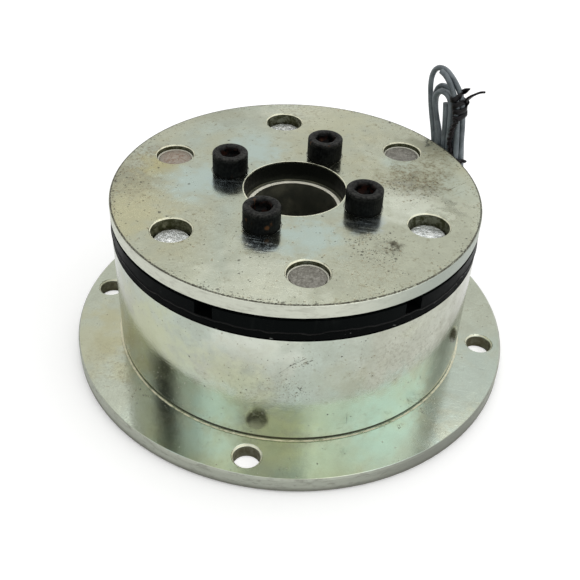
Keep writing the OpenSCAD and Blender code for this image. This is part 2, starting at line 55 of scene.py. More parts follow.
Colour = tuple[float, float, float]
Point = tuple[float, float, float]
Span = tuple[float, float]
Socket = bpy.types.NodeSocket

WHITE = (1.0, 1.0, 1.0)


class Body(Enum):
    """The bodies of the brake that turn or slide against each other."""

    MAGNET = "magnet"
    ROTOR = "rotor"
    ARMATURE = "armature"
    CAGE = "ball_cage"


class Grain(Enum):
    """Which way the fine marks of a metal surface run."""

    ROLLED = "rolled"
    TURNED = "turned"


class Mark(Enum):
    """What a local mark on a plated surface is made of."""

    TEAL = "teal"
    STRAW = "straw"
    BLUE = "blue"
    BROWN = "brown"
    SMUDGE = "smudge"
    AMBER = "amber"
    GRIME = "grime"
    PALE = "pale"
    PITS = "pits"
    SOOT = "soot"
    MATTE = "matte"
    SCUFFED = "scuffed"


# How far each kind of mark dulls the metal. A mark is full within a share of its reach, and its
# edge strays by another share.
DULLING = {
    Mark.BROWN: 0.7,
    Mark.SOOT: 0.7,
    Mark.MATTE: 0.7,
    Mark.GRIME: 0.7,
    Mark.SCUFFED: 0.7,
    Mark.BLUE: 0.1,
}
FULL_WITHIN = 0.15
RAGGED = 0.25

# The rings of rivets and screws: their radius in millimetres and the angle of their first place.
RIVET_CIRCLE, RIVET_START = 37.7, 15.3
SCREW_CIRCLE, SCREW_START = 19.8, -14.7
SHAFT = (Vector((0, 0, 0)),)


def at_angle(angle: float, radius: float, height: float = 0.0) -> Vector:
    """A point on a circle round the shaft.

    Args:
        angle: Degrees from the front (-Y) towards +X.
        radius: Distance from the shaft axis, in millimetres.
        height: Height over the mounting face, in millimetres.

    Returns:
        The point in metres.
    """
    a = math.radians(angle)
    return Vector((radius * math.sin(a), -radius * math.cos(a), height)) * MM


def around(start: float, step: float, radius: float) -> tuple[Vector, ...]:
    """Equally spaced upright axes round the shaft, in metres, from a start angle in degrees."""
    return tuple(at_angle(start + step * k, radius) for k in range(round(360 / step)))


def numbered(name: str, count: int) -> list[str]:
    """The names of like nodes, numbered from 1."""
    return [f"{name}_{i}" for i in range(1, count + 1)]


# Node graphs and materials


class Graph:
    """A node tree under way: adds nodes, sets them and joins them."""

    def __init__(self, tree: bpy.types.NodeTree) -> None:
        """Takes a node tree and clears it."""
        self.tree = tree
        self.tree.nodes.clear()

    def feed(self, socket: Socket, value: object) -> None:
        """Joins a socket to another, or sets it to a constant."""
        if isinstance(value, bpy.types.NodeSocket):
            self.tree.links.new(value, socket)
        elif isinstance(value, tuple) and len(value) == 3 and socket.type == "RGBA":
            socket.default_value = (*value, 1.0)
        else:
            socket.default_value = value

    def node(
        self, kind: str, inputs: dict[str | int, object] | None = None, **settings: object
    ) -> bpy.types.Node:
        """Adds a node, sets its properties and feeds its inputs.

        Args:
            kind: Blender's name of the node type.
            inputs: Sockets or constants by input name or number.
            **settings: Properties of the node.

        Returns:
            The new node.
        """
        made = self.tree.nodes.new(kind)
        for key, value in settings.items():
            setattr(made, key, value)
        for key, value in (inputs or {}).items():
            self.feed(made.inputs[key], value)
        return made

    def math(self, operation: str, a: object, b: object = 0.0, clamp: bool = False) -> Socket:
        """One step of arithmetic on two values."""
        made = self.node("ShaderNodeMath", {0: a, 1: b}, operation=operation, use_clamp=clamp)
        return made.outputs[0]

    def times(self, a: object, b: object) -> Socket:
        """The product of two values: where both masks hold, or a mask held back."""
        return self.math("MULTIPLY", a, b)

    def either(self, a: object, b: object) -> Socket:
        """The larger of two values: where one mask or the other holds."""
        return self.math("MAXIMUM", a, b)


class Bench(Graph):
    """A workbench for one material, which keeps the object's coordinates at hand."""

    def __init__(self, name: str) -> None:
        """Starts an empty material with one shader and one output."""
        self.material = bpy.data.materials.new(name)
        self.material.use_nodes = True
        super().__init__(self.material.node_tree)
        self.shader = self.node("ShaderNodeBsdfPrincipled")
        self.node("ShaderNodeOutputMaterial", {"Surface": self.shader.outputs["BSDF"]})
        self.place = self.node("ShaderNodeTexCoord").outputs["Object"]

    def set(self, name: str, value: object) -> None:
        """Sets or joins an input of the shader."""
        self.feed(self.shader.inputs[name], value)

    def surface(
        self,
        colour: object,
        rough: object,
        normal: Socket | None = None,
        metal: object = 0.0,
        gloss: object = 0.5,
    ) -> bpy.types.Material:
        """Sets what every finish sets.

        Args:
            colour: The colour.
            rough: How rough it is, 0 to 1.
            normal: The bumped normal, or None for a smooth surface.
            metal: How metallic it is, 0 to 1.
            gloss: How strongly it mirrors where it isn't metal.

        Returns:
            The material.
        """
        self.set("Base Color", colour)
        self.set("Roughness", rough)
        self.set("Metallic", metal)
        self.set("Specular IOR Level", gloss)
        if normal:
            self.set("Normal", normal)
        return self.material

    def glow(self, strength: object) -> None:
        """Makes the surface shine white by itself."""
        self.set("Emission Color", WHITE)
        self.set("Emission Strength", strength)

    def vector(self, operation: str, a: object, *b: object) -> Socket:
        """One step of arithmetic on a vector, or on two."""
        made = self.node("ShaderNodeVectorMath", dict(enumerate((a, *b))), operation=operation)
        return made.outputs["Value" if operation in ("DISTANCE", "LENGTH", "DOT_PRODUCT") else "Vector"]

    def mapped(self, scale: Point, turn: Point = (0, 0, 0), shift: Point = (0, 0, 0)) -> Socket:
        """The object's coordinates, turned, stretched and shifted."""
        angles = [math.radians(t) for t in turn]
        inputs = {"Vector": self.place, "Scale": scale, "Rotation": angles, "Location": shift}
        return self.node("ShaderNodeMapping", inputs).outputs[0]

    def marked(self, name: str) -> Socket:
        """A mark that the mesh itself carries, 0 to 1."""
        return self.node("ShaderNodeAttribute", attribute_name=name).outputs["Fac"]

    def noise(
        self,
        scale: float,
        detail: float = 3.0,
        rough: float = 0.55,
        warp: float = 0.0,
        where: Socket | None = None,
    ) -> Socket:
        """A noise value.

        Args:
            scale: Features in a metre.
            detail: Number of finer layers.
            rough: Strength of each finer layer.
            warp: How far the noise bends itself.
            where: Coordinates, or the object's own.

        Returns:
            The value, about 0.2 to 0.8.
        """
        inputs = {"Vector": where or self.place, "Scale": scale, "Detail": detail}
        inputs.update({"Roughness": rough, "Distortion": warp})
        return self.node("ShaderNodeTexNoise", inputs).outputs["Fac"]

    def steps(self, value: Socket, low: float, high: float, to: Span = (0.0, 1.0)) -> Socket:
        """A smooth step between two values, turned to another range."""
        inputs = {"Value": value, "From Min": low, "From Max": high, "To Min": to[0], "To Max": to[1]}
        made = self.node("ShaderNodeMapRange", inputs, interpolation_type="SMOOTHSTEP", clamp=True)
        return made.outputs["Result"]

    def tint(self, share: object, under: object, over: object) -> Socket:
        """Lays one colour over another by a share from 0 to 1."""
        return self.node("ShaderNodeMix", {0: share, 6: under, 7: over}, data_type="RGBA").outputs[2]

    def above(self, value: Socket, limit: float, fade: float = 0.05) -> Socket:
        """A mask that is 1 where a length in metres is above a limit in mm, fading in below it."""
        return self.steps(value, (limit - fade) * MM, limit * MM)

    def below(self, value: Socket, limit: float, fade: float = 0.05) -> Socket:
        """A mask that is 1 where a length in metres is below a limit in mm, fading out up to it."""
        return self.steps(value, (limit - fade) * MM, limit * MM, (1.0, 0.0))

    def near(self, centre: Point, reach: float, ragged: float = 0.0) -> Socket:
        """A mask that is 1 at a point and fades out round it.

        Args:
            centre: The point, in millimetres.
            reach: Radius at which the mask ends, in millimetres.
            ragged: How far the mask's edge strays, in millimetres.

        Returns:
            The mask.
        """
        away = self.vector("DISTANCE", self.place, [c * MM for c in centre])
        if ragged:
            stray = self.steps(self.noise(260, 4), 0.3, 0.7, (-ragged * MM, ragged * MM))
            away = self.math("ADD", away, stray)
        return self.steps(away, FULL_WITHIN * reach * MM, reach * MM, (1.0, 0.0))

    def height_and_reach(self) -> tuple[Socket, Socket]:
        """The height over the mounting face and the distance from the shaft axis, in metres."""
        height = self.node("ShaderNodeSeparateXYZ", {0: self.place}).outputs["Z"]
        return height, self.vector("LENGTH", self.vector("MULTIPLY", self.place, (1, 1, 0)))

    def along(self, stroke: Stroke) -> Socket:
        """A mask that is 1 on a stroke and 0 beside it."""
        a, z = Vector(stroke.start) * MM, Vector(stroke.end) * MM
        run = z - a
        away = self.vector("SUBTRACT", self.place, a)
        share = self.either(self.vector("DOT_PRODUCT", away, run / run.length_squared), 0.0)
        share = self.math("MINIMUM", share, 1.0)
        back = self.node("ShaderNodeVectorMath", {0: run, "Scale": share}, operation="SCALE")
        half = stroke.width / 2 * MM
        gap = self.vector("DISTANCE", away, back.outputs[0])
        return self.steps(gap, 0.5 * half, half, (1.0, 0.0))

    def dots(self, scale: float, size: float, share: object, shift: float = 0.0) -> Socket:
        """Round specks of several sizes, scattered without order.

        Args:
            scale: Places for a speck in a metre.
            size: Radius of the largest, as a share of the spacing.
            share: Share of the places that hold one, a number or a socket.
            shift: Moves the pattern.

        Returns:
            The mask of the specks.
        """
        where = self.mapped((1, 1, 1), shift=(shift, shift, shift))
        cells = self.node("ShaderNodeTexVoronoi", {"Vector": where, "Scale": scale})
        drawn = self.node("ShaderNodeSeparateColor", {0: cells.outputs["Color"]})
        radius = self.times(self.math("ADD", drawn.outputs[1], 0.4), size / 1.4)
        ragged = self.steps(self.noise(3.3 * scale, 2, 0.6), 0.3, 0.7, (0.0, 0.4 * size))
        inside = self.math("SUBTRACT", self.math("SUBTRACT", radius, cells.outputs["Distance"]), ragged)
        kept = self.math("LESS_THAN", drawn.outputs[0], share)
        return self.times(kept, self.steps(inside, 0.0, 0.3 * size))

    def from_axes(self, axes: Sequence[Vector]) -> Socket:
        """The distance to the nearest of several upright axes, in metres."""
        flat = self.vector("MULTIPLY", self.place, (1, 1, 0))
        nearest: Socket | None = None
        for axis in axes:
            away = self.vector("DISTANCE", flat, axis)
            nearest = self.math("MINIMUM", nearest, away) if nearest else away
        return nearest

    def band(self, value: Socket, middle: float, half: float) -> Socket:
        """A mask that is 1 where a length in metres is within a half width of a middle, both in mm."""
        off = self.math("ABSOLUTE", self.math("SUBTRACT", value, middle * MM))
        return self.steps(off, 0.6 * half * MM, half * MM, (1.0, 0.0))

    def bump(self, height: Socket, depth: float, under: Socket | None = None) -> Socket:
        """A bumped normal from a height value.

        Args:
            height: The height, 0 to 1.
            depth: What a height of 1 stands for, in millimetres.
            under: A normal that this bump is laid over.

        Returns:
            The normal.
        """
        made = self.node("ShaderNodeBump", {"Distance": depth * MM, "Height": height})
        if under:
            self.feed(made.inputs["Normal"], under)
        return made.outputs["Normal"]

    def hairlines(self, turn: float, shift: float, fine: float, low: float, high: float) -> Socket:
        """Sparse fine scratches across the surface that lie one way.

        Args:
            turn: Direction of the scratches about the shaft, in degrees.
            shift: Moves the pattern, so that two sets differ.
            fine: How thin the scratches are, in lines a metre.
            low: Where a scratch starts to show.
            high: Where it shows in full.

        Returns:
            The mask of the scratches.
        """
        where = self.mapped((110.0, fine, 110.0), (0, 0, turn), (shift, shift, 0))
        return self.steps(self.noise(1.0, 1.0, 0.4, 0.5, where), low, high)


@dataclass(frozen=True)
class Patch:
    """One mark at its own place on a plated surface, sizes in millimetres."""

    kind: Mark
    centre: Point
    reach: float
    strength: float = 1.0


@dataclass(frozen=True)
class Stroke:
    """One scratch from a point to another, sizes in millimetres."""

    start: Point
    end: Point
    width: float = 0.25
    strength: float = 0.9


@dataclass(frozen=True)
class Walls:
    """Where the dull inner walls of a turned part begin, darkened by dirt and painted shade, sizes in
    millimetres.
    """

    below: float
    within: float
    colour: Colour = (0.034, 0.036, 0.012)
    bore_r: float = 0.0
    bore_painted_shade: Colour = (0.005, 0.006, 0.004)


@dataclass(frozen=True)
class RimHighlights:
    """Painted highlights on the rims of round holes, sizes in millimetres."""

    axes: tuple[Vector, ...]
    radius: float
    half_width: float
    above: float
    colour: Colour = (0.74, 0.73, 0.56)


@dataclass(frozen=True)
class OuterEdge:
    """The dull, scraped edge of a disc, darker at one side and towards the floor as painted shade, sizes in
    millimetres.
    """

    beyond: float
    below: float
    shaded_side_at: Point
    # The colour of the painted shade at one side.
    grey: Colour = (0.31, 0.345, 0.3)
    shaded_side_reach: float = 38.0
    colour: Colour = (0.36, 0.38, 0.32)
    # Scraped dirt; also the painted shade towards the floor.
    dirt: Colour = (0.12, 0.12, 0.1)
    dirt_share: float = 0.5
    dull: float = 1.0


@dataclass(frozen=True)
class PittedLine:
    """A thin line of dirt round a rim, with pits beside it, sizes in millimetres."""

    radius: float
    half_width: float
    above: float
    pits_within: float = 0.7
    strength: float = 0.92


@dataclass(frozen=True)
class FootShadeLine:
    """The painted shade in the crevice at the foot of the cup, up to a height in millimetres."""

    below: float
    colour: Colour = (0.035, 0.03, 0.015)


@dataclass(frozen=True)
class Palette:
    """The colours of a zinc plating: its metal, its films, its dirt and its wear; on the cup, smudge, grime
    and pale also serve as painted shade and highlight.
    """

    base: Colour
    teal: Colour = (0.415, 0.5, 0.455)
    straw: Colour = (0.465, 0.455, 0.3)
    blue: Colour = (0.36, 0.44, 0.5)
    pale: Colour = (0.6, 0.63, 0.53)
    amber: Colour = (0.39, 0.365, 0.2)
    brown: Colour = (0.2, 0.155, 0.085)
    smudge: Colour = (0.215, 0.21, 0.135)
    grime: Colour = (0.2, 0.175, 0.11)
    soot: Colour = (0.1, 0.097, 0.065)
    cloud: Colour = (0.3, 0.31, 0.24)
    grit: Colour = (0.25, 0.26, 0.2)
    fleck: Colour = (0.19, 0.17, 0.095)
    pit: Colour = (0.035, 0.032, 0.022)

    def ink(self, mark: Mark) -> Colour | None:
        """The colour that a mark lays on, or None where it only dulls."""
        return self.pale if mark is Mark.SCUFFED else getattr(self, mark.value, None)


@dataclass
class Coat:
    """A plating under way: its colour so far, and how dull it is from 0, bright, to 1, dirty."""

    bench: Bench
    colour: Socket
    dull: Socket

    def lay(self, mask: Socket, ink: object, dulling: float = 0.0) -> None:
        """Lays a mark over the coat.

        Args:
            mask: Where the mark lies.
            ink: Its colour, or None where it has none.
            dulling: How far it dulls the metal under it.
        """
        if ink is not None:
            self.colour = self.bench.tint(mask, self.colour, ink)
        if dulling:
            share = self.bench.times(mask, dulling)
            self.dull = self.bench.math("ADD", self.dull, share, clamp=True)


@dataclass(frozen=True)
class ZincFinish:
    """Bright zinc plating with a thin passivation film that shimmers from straw to teal."""

    name: str
    palette: Palette
    seed: float
    teal_share: float = 0.6
    straw_share: float = 0.6
    fleck_share: float = 0.5
    stain_share: float = 0.5
    rough: Span = (0.1, 0.2)
    anisotropy: float = 0.0
    grain: Grain = Grain.ROLLED
    grain_depth: float = 0.003
    speckle: float = 0.05
    speck_fineness: float = 1.0
    patches: tuple[Patch, ...] = ()
    strokes: tuple[Stroke, ...] = ()
    walls: Walls | None = None
    rim_highlights: tuple[RimHighlights, ...] = ()
    edge: OuterEdge | None = None
    line: PittedLine | None = None
    foot: FootShadeLine | None = None

    def material(self) -> bpy.types.Material:
        """Builds the plating's nodes."""
        b = Bench(self.name)
        where = b.mapped((1, 1, 1), shift=(self.seed, self.seed * 0.7, self.seed * 1.3))
        coat = self._filmed(b, where)
        self._patched(coat)
        self._pitted(coat)
        self._scratched(coat)
        height, reach = b.height_and_reach()
        self._lined(coat, height, reach)
        self._walled(coat, height, reach)
        self._highlight_rims(coat, height)
        self._scraped(coat, height, reach)
        if self.anisotropy:
            b.set("Anisotropic", self.anisotropy)
            tangent = b.node("ShaderNodeTangent", direction_type="RADIAL", axis="Z")
            b.set("Tangent", tangent.outputs["Tangent"])
        film = b.steps(b.noise(60, 5, 0.6, 0.5, where), 0.3, 0.7, self.rough)
        return b.surface(
            coat.colour,
            rough=b.math("ADD", film, b.times(coat.dull, 0.35), clamp=True),
            normal=self._grained(coat),
            metal=b.steps(coat.dull, 0.0, 1.0, (1.0, 0.25)),
            gloss=b.steps(coat.dull, 0.0, 1.0, (0.5, 0.12)),
        )

    def _filmed(self, b: Bench, where: Socket) -> Coat:
        """Starts the coat: the metal with its films, clouds, flecks and stains.

        Args:
            b: The material's workbench.
            where: The coordinates that the broad patterns read.

        Returns:
            The coat.
        """
        hue = self.palette
        turned_where = b.mapped((1, 1, 1), (40, 10, 70), (self.seed, self.seed * 0.7, self.seed * 1.3))
        broad = b.noise(24, 3, 0.5, 0.6, where)
        cross = b.noise(33, 4, 0.6, 0.4, turned_where)
        mottle = b.noise(150, 6, 0.65, 0.3, where)
        grit = b.noise(1500, 3, 0.7)
        colour = b.tint(b.steps(broad, 0.5, 0.68, (0, self.teal_share)), hue.base, hue.teal)
        colour = b.tint(b.steps(cross, 0.52, 0.7, (0, self.straw_share)), colour, hue.straw)
        colour = b.tint(b.steps(mottle, 0.3, 0.72, (0.34, 0.0)), colour, hue.cloud)
        colour = b.tint(b.steps(grit, 0.35, 0.75, (0.18, 0.0)), colour, hue.grit)
        flecks = b.steps(b.noise(540, 6, 0.75, 0.8, where), 0.54, 0.66, (0.0, self.fleck_share))
        flecks = b.times(flecks, b.steps(mottle, 0.4, 0.62, (0.25, 1.0)))
        colour = b.tint(flecks, colour, hue.fleck)
        clustered = b.steps(mottle, 0.48, 0.66, (0, self.stain_share))
        stain = b.times(b.steps(cross, 0.56, 0.74), clustered)
        return Coat(b, b.tint(stain, colour, hue.brown), stain)

    def _patched(self, coat: Coat) -> None:
        """Lays the local films, smudges and dirt, and the painted shade and highlight on the cup."""
        for patch in self.patches:
            if patch.kind is Mark.PITS:
                continue
            mask = coat.bench.near(patch.centre, patch.reach, ragged=RAGGED * patch.reach)
            grain = self._grain_of(coat.bench, patch.kind)
            if grain:
                mask = coat.bench.times(mask, grain)
            mask = coat.bench.times(mask, patch.strength)
            coat.lay(mask, self.palette.ink(patch.kind), DULLING.get(patch.kind, 0.0))

    def _grain_of(self, b: Bench, kind: Mark) -> Socket | None:
        """The grain that breaks a mark up, or None for a mark that lies smooth."""
        if kind in (Mark.BROWN, Mark.SOOT):
            return b.steps(b.noise(420, 5, 0.7, 0.5), 0.36, 0.62)
        if kind is Mark.GRIME:
            return b.steps(b.noise(950, 4, 0.75, 0.3), 0.46, 0.62)
        if kind is Mark.SCUFFED:
            return b.either(b.hairlines(62, 2.3, 1500, 0.6, 0.7), b.hairlines(-24, 5.1, 1700, 0.6, 0.7))
        return None

    def _pitted(self, coat: Coat) -> None:
        """Scatters pits and rusty specks, thinly all over and thickly in their patches."""
        b, hue, fine = coat.bench, self.palette, self.speck_fineness
        share: object = self.speckle
        for patch in self.patches:
            if patch.kind is Mark.PITS:
                mask = b.near(patch.centre, patch.reach, ragged=RAGGED * patch.reach)
                share = b.math("ADD", share, b.times(mask, patch.strength), clamp=True)
        if self.line:
            _, reach = b.height_and_reach()
            inner = self.line.radius - self.line.pits_within
            close = b.steps(reach, inner * MM, self.line.radius * MM, (0.0, 0.9))
            share = b.math("ADD", share, close, clamp=True)
        share = b.times(share, b.steps(b.noise(130, 4, 0.65), 0.4, 0.62, (0.25, 1.5)))
        large = b.dots(850 * fine, 0.62, b.times(share, 0.7), self.seed)
        small = b.dots(1900 * fine, 0.7, b.times(share, 1.4), self.seed + 3.0)
        rusty = b.dots(1200 * fine, 0.66, b.times(share, 1.1), self.seed + 5.0)
        coat.lay(b.times(rusty, 0.55), hue.brown)
        coat.lay(b.times(small, 0.7), hue.pit)
        coat.lay(b.times(large, 0.72), hue.pit)
        coat.lay(b.either(b.either(large, small), rusty), None, 0.7)

    def _scratched(self, coat: Coat) -> None:
        """Draws the dark scratches, each broken by the grain."""
        b = coat.bench
        for stroke in self.strokes:
            broken = b.steps(b.noise(900, 3, 0.6), 0.36, 0.52, (0.15, stroke.strength))
            coat.lay(b.times(b.along(stroke), broken), self.palette.pit, 0.6)

    def _lined(self, coat: Coat, height: Socket, reach: Socket) -> None:
        """Draws the line of dirt round the rim and the painted shade line at the cup's foot."""
        b = coat.bench
        if self.line:
            ring = b.band(reach, self.line.radius, self.line.half_width)
            ring = b.times(ring, b.above(height, self.line.above, fade=0.1))
            broken = b.steps(b.noise(2400, 3, 0.7), 0.36, 0.5, (0.25, self.line.strength))
            coat.lay(b.times(ring, broken), self.palette.pit, 0.6)
        if self.foot:
            # Painted shade: a dark line in the crevice where the cup meets the flange.
            gap = b.steps(height, self.foot.below * MM, (self.foot.below + 0.08) * MM, (0.92, 0.0))
            coat.lay(gap, self.foot.colour, 1.0)

    def _walled(self, coat: Coat, height: Socket, reach: Socket) -> None:
        """Darkens the inner walls with dirt and painted shade, and paints the wall of the bore darkest, as
        painted shade.
        """
        b = coat.bench
        if not self.walls:
            return
        deep = b.below(height, self.walls.below, fade=0.05)
        inner = b.below(reach, self.walls.within + 0.1, fade=0.1)
        wall = b.times(inner, deep)
        # The walls darken partly by dirt and partly by painted shade.
        dirt = b.steps(b.noise(620, 5, 0.75, 0.3), 0.36, 0.6, (0.72, 1.0))
        coat.lay(b.times(wall, dirt), self.walls.colour)
        # Painted shade: the bore's wall is laid nearly black.
        if self.walls.bore_r:
            bore = b.below(reach, self.walls.bore_r + 0.2, fade=0.2)
            coat.lay(b.times(bore, deep), self.walls.bore_painted_shade)
        coat.lay(wall, None, 0.8)

    def _highlight_rims(self, coat: Coat, height: Socket) -> None:
        """Paints pale highlights on the rims of the holes."""
        b = coat.bench
        for rim_highlights in self.rim_highlights:
            rim = b.band(b.from_axes(rim_highlights.axes), rim_highlights.radius, rim_highlights.half_width)
            rim = b.times(rim, b.above(height, rim_highlights.above, fade=0.05))
            # Noise breaks up the painted highlight.
            worn = b.steps(b.noise(700, 4, 0.6), 0.3, 0.6, (0.35, 0.95))
            coat.lay(b.times(rim, worn), rim_highlights.colour, 1.0)

    def _scraped(self, coat: Coat, height: Socket, reach: Socket) -> None:
        """Scrapes the outer edge, and darkens it at one side and towards the floor as painted shade."""
        b, edge = coat.bench, self.edge
        if not edge:
            return
        outer = b.times(b.above(reach, edge.beyond), b.below(height, edge.below))
        scraped = b.noise(1.0, 5, 0.75, 0.3, b.mapped((260, 260, 900)))
        ink = b.tint(b.steps(scraped, 0.48, 0.66, (0.0, edge.dirt_share)), edge.colour, edge.dirt)
        # Painted shade at one side of the edge.
        ink = b.tint(b.near(edge.shaded_side_at, edge.shaded_side_reach), ink, edge.grey)
        # Painted shade towards the floor.
        ink = b.tint(b.steps(height, 0.4 * MM, 2.4 * MM, (0.85, 0.0)), ink, edge.dirt)
        coat.lay(outer, ink, edge.dull)

    def _grained(self, coat: Coat) -> Socket:
        """The fine relief: worked grain, hair scratches and pits."""
        b = coat.bench
        if self.grain is Grain.TURNED:
            lines = b.noise(1.0, 4, 0.7, 0, b.mapped((18, 18, 5200)))
        else:
            one = b.hairlines(28, 0.3, 1900, 0.66, 0.74)
            two = b.hairlines(-41, 1.7, 2300, 0.67, 0.75)
            three = b.hairlines(83, 4.1, 1700, 0.67, 0.75)
            scratches = b.either(b.either(one, two), three)
            lines = b.math("SUBTRACT", 1.0, scratches)
        normal = b.bump(lines, self.grain_depth)
        normal = b.bump(b.noise(420, 5, 0.7), 0.022, normal)
        return b.bump(b.math("SUBTRACT", 1.0, coat.dull), 0.02, normal)


# Marks at their places on the plated steel, in millimetres; some on the cup are painted shade and highlight

FLANGE_TOP = 4.7
PLATE_TOP = 49.4
SCREW_FEET = ((-3.7, -27.2), (20.5, -13.4), (-18.5, -2.4))


def level(height: float, *marks: tuple[Mark, float, float, float, float]) -> tuple[Patch, ...]:
    """Marks that lie at one height, each with its kind, x, y, reach and strength."""
    return tuple(Patch(kind, (x, y, height), reach, strength) for kind, x, y, reach, strength in marks)


def at_feet(
    kind: Mark, reach: float, strengths: Sequence[float], back: float = 0.0
) -> tuple[tuple[Mark, float, float, float, float], ...]:
    """The same mark beside each of the three screws that face the viewer, moved back a little."""
    return tuple((kind, x, y + back, reach, s) for (x, y), s in zip(SCREW_FEET, strengths))


FLANGE_MARKS = level(
    FLANGE_TOP,
    (Mark.STRAW, -54, -25, 22, 0.5),
    (Mark.TEAL, 54, -16, 26, 0.5),
    (Mark.TEAL, 36, -45, 22, 0.6),
    (Mark.PALE, 2, -57, 16, 0.5),
    (Mark.AMBER, -51, -13, 8, 0.35),
    (Mark.AMBER, -47, -24.4, 8, 0.4),
    (Mark.AMBER, -40.5, -34, 7, 0.35),
    (Mark.GRIME, -43, -33, 14, 0.35),
    (Mark.STRAW, 14, -54, 14, 0.35),
    (Mark.TEAL, -15, -55, 12, 0.7),
    (Mark.PITS, -54.5, -18.2, 2.2, 0.4),
    (Mark.PITS, 42.3, -28.5, 5, 0.8),
    (Mark.PITS, 36.7, -37.5, 1.5, 0.5),
    (Mark.PITS, -32, -40, 7, 0.4),
)
PLATE_MARKS = level(
    PLATE_TOP,
    (Mark.PITS, 25.4, -21.4, 9, 3.6),
    (Mark.SOOT, 28, -21.4, 4.5, 1.3),
    (Mark.SMUDGE, 31, 11.4, 14, 0.5),
    (Mark.GRIME, 31, 10.4, 14, 1.5),
    (Mark.PITS, 30.4, 6.7, 9, 2),
    (Mark.SOOT, 32, 6.5, 9, 0.7),
    (Mark.GRIME, -44, -14, 22, 1.1),
    (Mark.SMUDGE, -45, -8, 18, 0.5),
    (Mark.SMUDGE, -30, 38, 14, 0.3),
    (Mark.GRIME, -44, 4, 14, 1),
    (Mark.PITS, -44, -6, 18, 0.15),
    (Mark.GRIME, 4, -38, 18, 0.4),
    (Mark.GRIME, 25, -33, 13, 0.5),
    (Mark.AMBER, -38.6, -23.1, 12, 0.6),
    (Mark.AMBER, -38.4, 3.1, 9, 0.9),
    *at_feet(Mark.PITS, 8, (-1, -1, -1)),
    *at_feet(Mark.SCUFFED, 7, (0.45, 0.3, 0.25)),
    (Mark.PALE, -6.7, 45.2, 17, 0.6),
    (Mark.PALE, 0, -44, 22, 0.45),
    (Mark.BROWN, -40.8, 11.5, 5, 0.7),
    (Mark.SMUDGE, 32.4, 30.5, 12, 0.5),
    (Mark.GRIME, 35.4, 23.5, 10, 0.6),
    (Mark.MATTE, 39, 18, 28, 2.4),
    (Mark.STRAW, -38, -20, 20, 0.6),
    (Mark.GRIME, -22, -24, 16, 0.35),
    (Mark.TEAL, -26.9, -3.7, 13, 0.9),
    (Mark.TEAL, -14.8, 16.8, 12, 0.9),
    (Mark.TEAL, 7.5, -22.3, 12, 0.9),
    (Mark.PALE, 30, -2, 14, 0.7),
    *at_feet(Mark.BLUE, 6, (0.7, 0.7, 0.6), back=0.8),
    (Mark.STRAW, 2, 40, 20, 0.5),
    (Mark.GRIME, -6, 44, 14, 0.5),
    (Mark.PITS, -8, -40, 22, 0.06),
)
CUP_MARKS = (
    Patch(Mark.PITS, (10.9, -48.5, 31.8), 3.5, 0.5),
    Patch(Mark.PITS, (10.7, -48.5, 22.2), 5, 0.4),
    Patch(Mark.PITS, (4, -49.5, 21), 12, 0.12),
    # Painted shade: the grime and smudge marks at heights 20 to 27 darken the cup's middle band to stand in
    # for darker reflections.
    Patch(Mark.GRIME, (0, -49.7, 20), 18, 0.28),
    Patch(Mark.GRIME, (34, -36, 26), 22, 0.28),
    Patch(Mark.SMUDGE, (48.3, -11.5, 27), 20, 0.62),
    Patch(Mark.AMBER, (22, -44.5, 22), 13, 0.25),
    # Painted highlight: this pale mark brightens the upper front of the cup.
    Patch(Mark.PALE, (0, -49.7, 37), 16, 0.6),
    Patch(Mark.SMUDGE, (-2, -49.7, 27), 12, 0.3),
    Patch(Mark.SMUDGE, (-35, -35, 27), 19, 0.45),
    Patch(Mark.SMUDGE, (-42, -27, 11), 15, 0.4),
    Patch(Mark.SMUDGE, (23.1, -44, 11.2), 3, 0.35),
    Patch(Mark.STRAW, (-29, -40, 25), 20, 0.6),
    Patch(Mark.TEAL, (34, -35, 11), 16, 0.8),
    Patch(Mark.TEAL, (16, -46, 12), 16, 0.5),
    Patch(Mark.STRAW, (-6, -49.4, 21), 14, 0.5),
    Patch(Mark.PALE, (-14, -47.5, 10), 14, 0.5),
    Patch(Mark.TEAL, (-12, -48.2, 12), 13, 0.6),
    Patch(Mark.STRAW, (6, -49.3, 8), 11, 0.8),
)
CUP_STROKES = (
    Stroke((12.4, -48.1, 33.4), (9, -48.9, 31), 0.32, 0.7),
    Stroke((9, -48.9, 31), (6.2, -49.3, 28.2), 0.25, 0.5),
    Stroke((11.8, -48.3, 31.8), (13.8, -47.7, 32.6), 0.4, 0.7),
    Stroke((10.6, -48.6, 24), (11.6, -48.3, 22.6), 0.4, 0.6),
    Stroke((9.6, -48.8, 21), (10.4, -48.6, 20.4), 0.35, 0.6),
    Stroke((48.7, -10, 18.6), (48.5, -10.9, 14.6), 0.7, 1),
    Stroke((23, -44.1, 13), (23.2, -44, 9.4), 0.4, 0.5),
    Stroke((39.9, -29.6, 15.8), (40.3, -29.1, 14.4), 0.5, 0.6),
)
PLATE_STROKES = (
    Stroke((40.2, 8.1, PLATE_TOP), (42.8, 11.3, PLATE_TOP), 0.3, 0.6),
    Stroke((42.8, 11.3, PLATE_TOP), (45.1, 13.8, PLATE_TOP), 0.25, 0.5),
    Stroke((41.6, 5.9, PLATE_TOP), (44.6, 9, PLATE_TOP), 0.25, 0.35),
)


# Other finishes


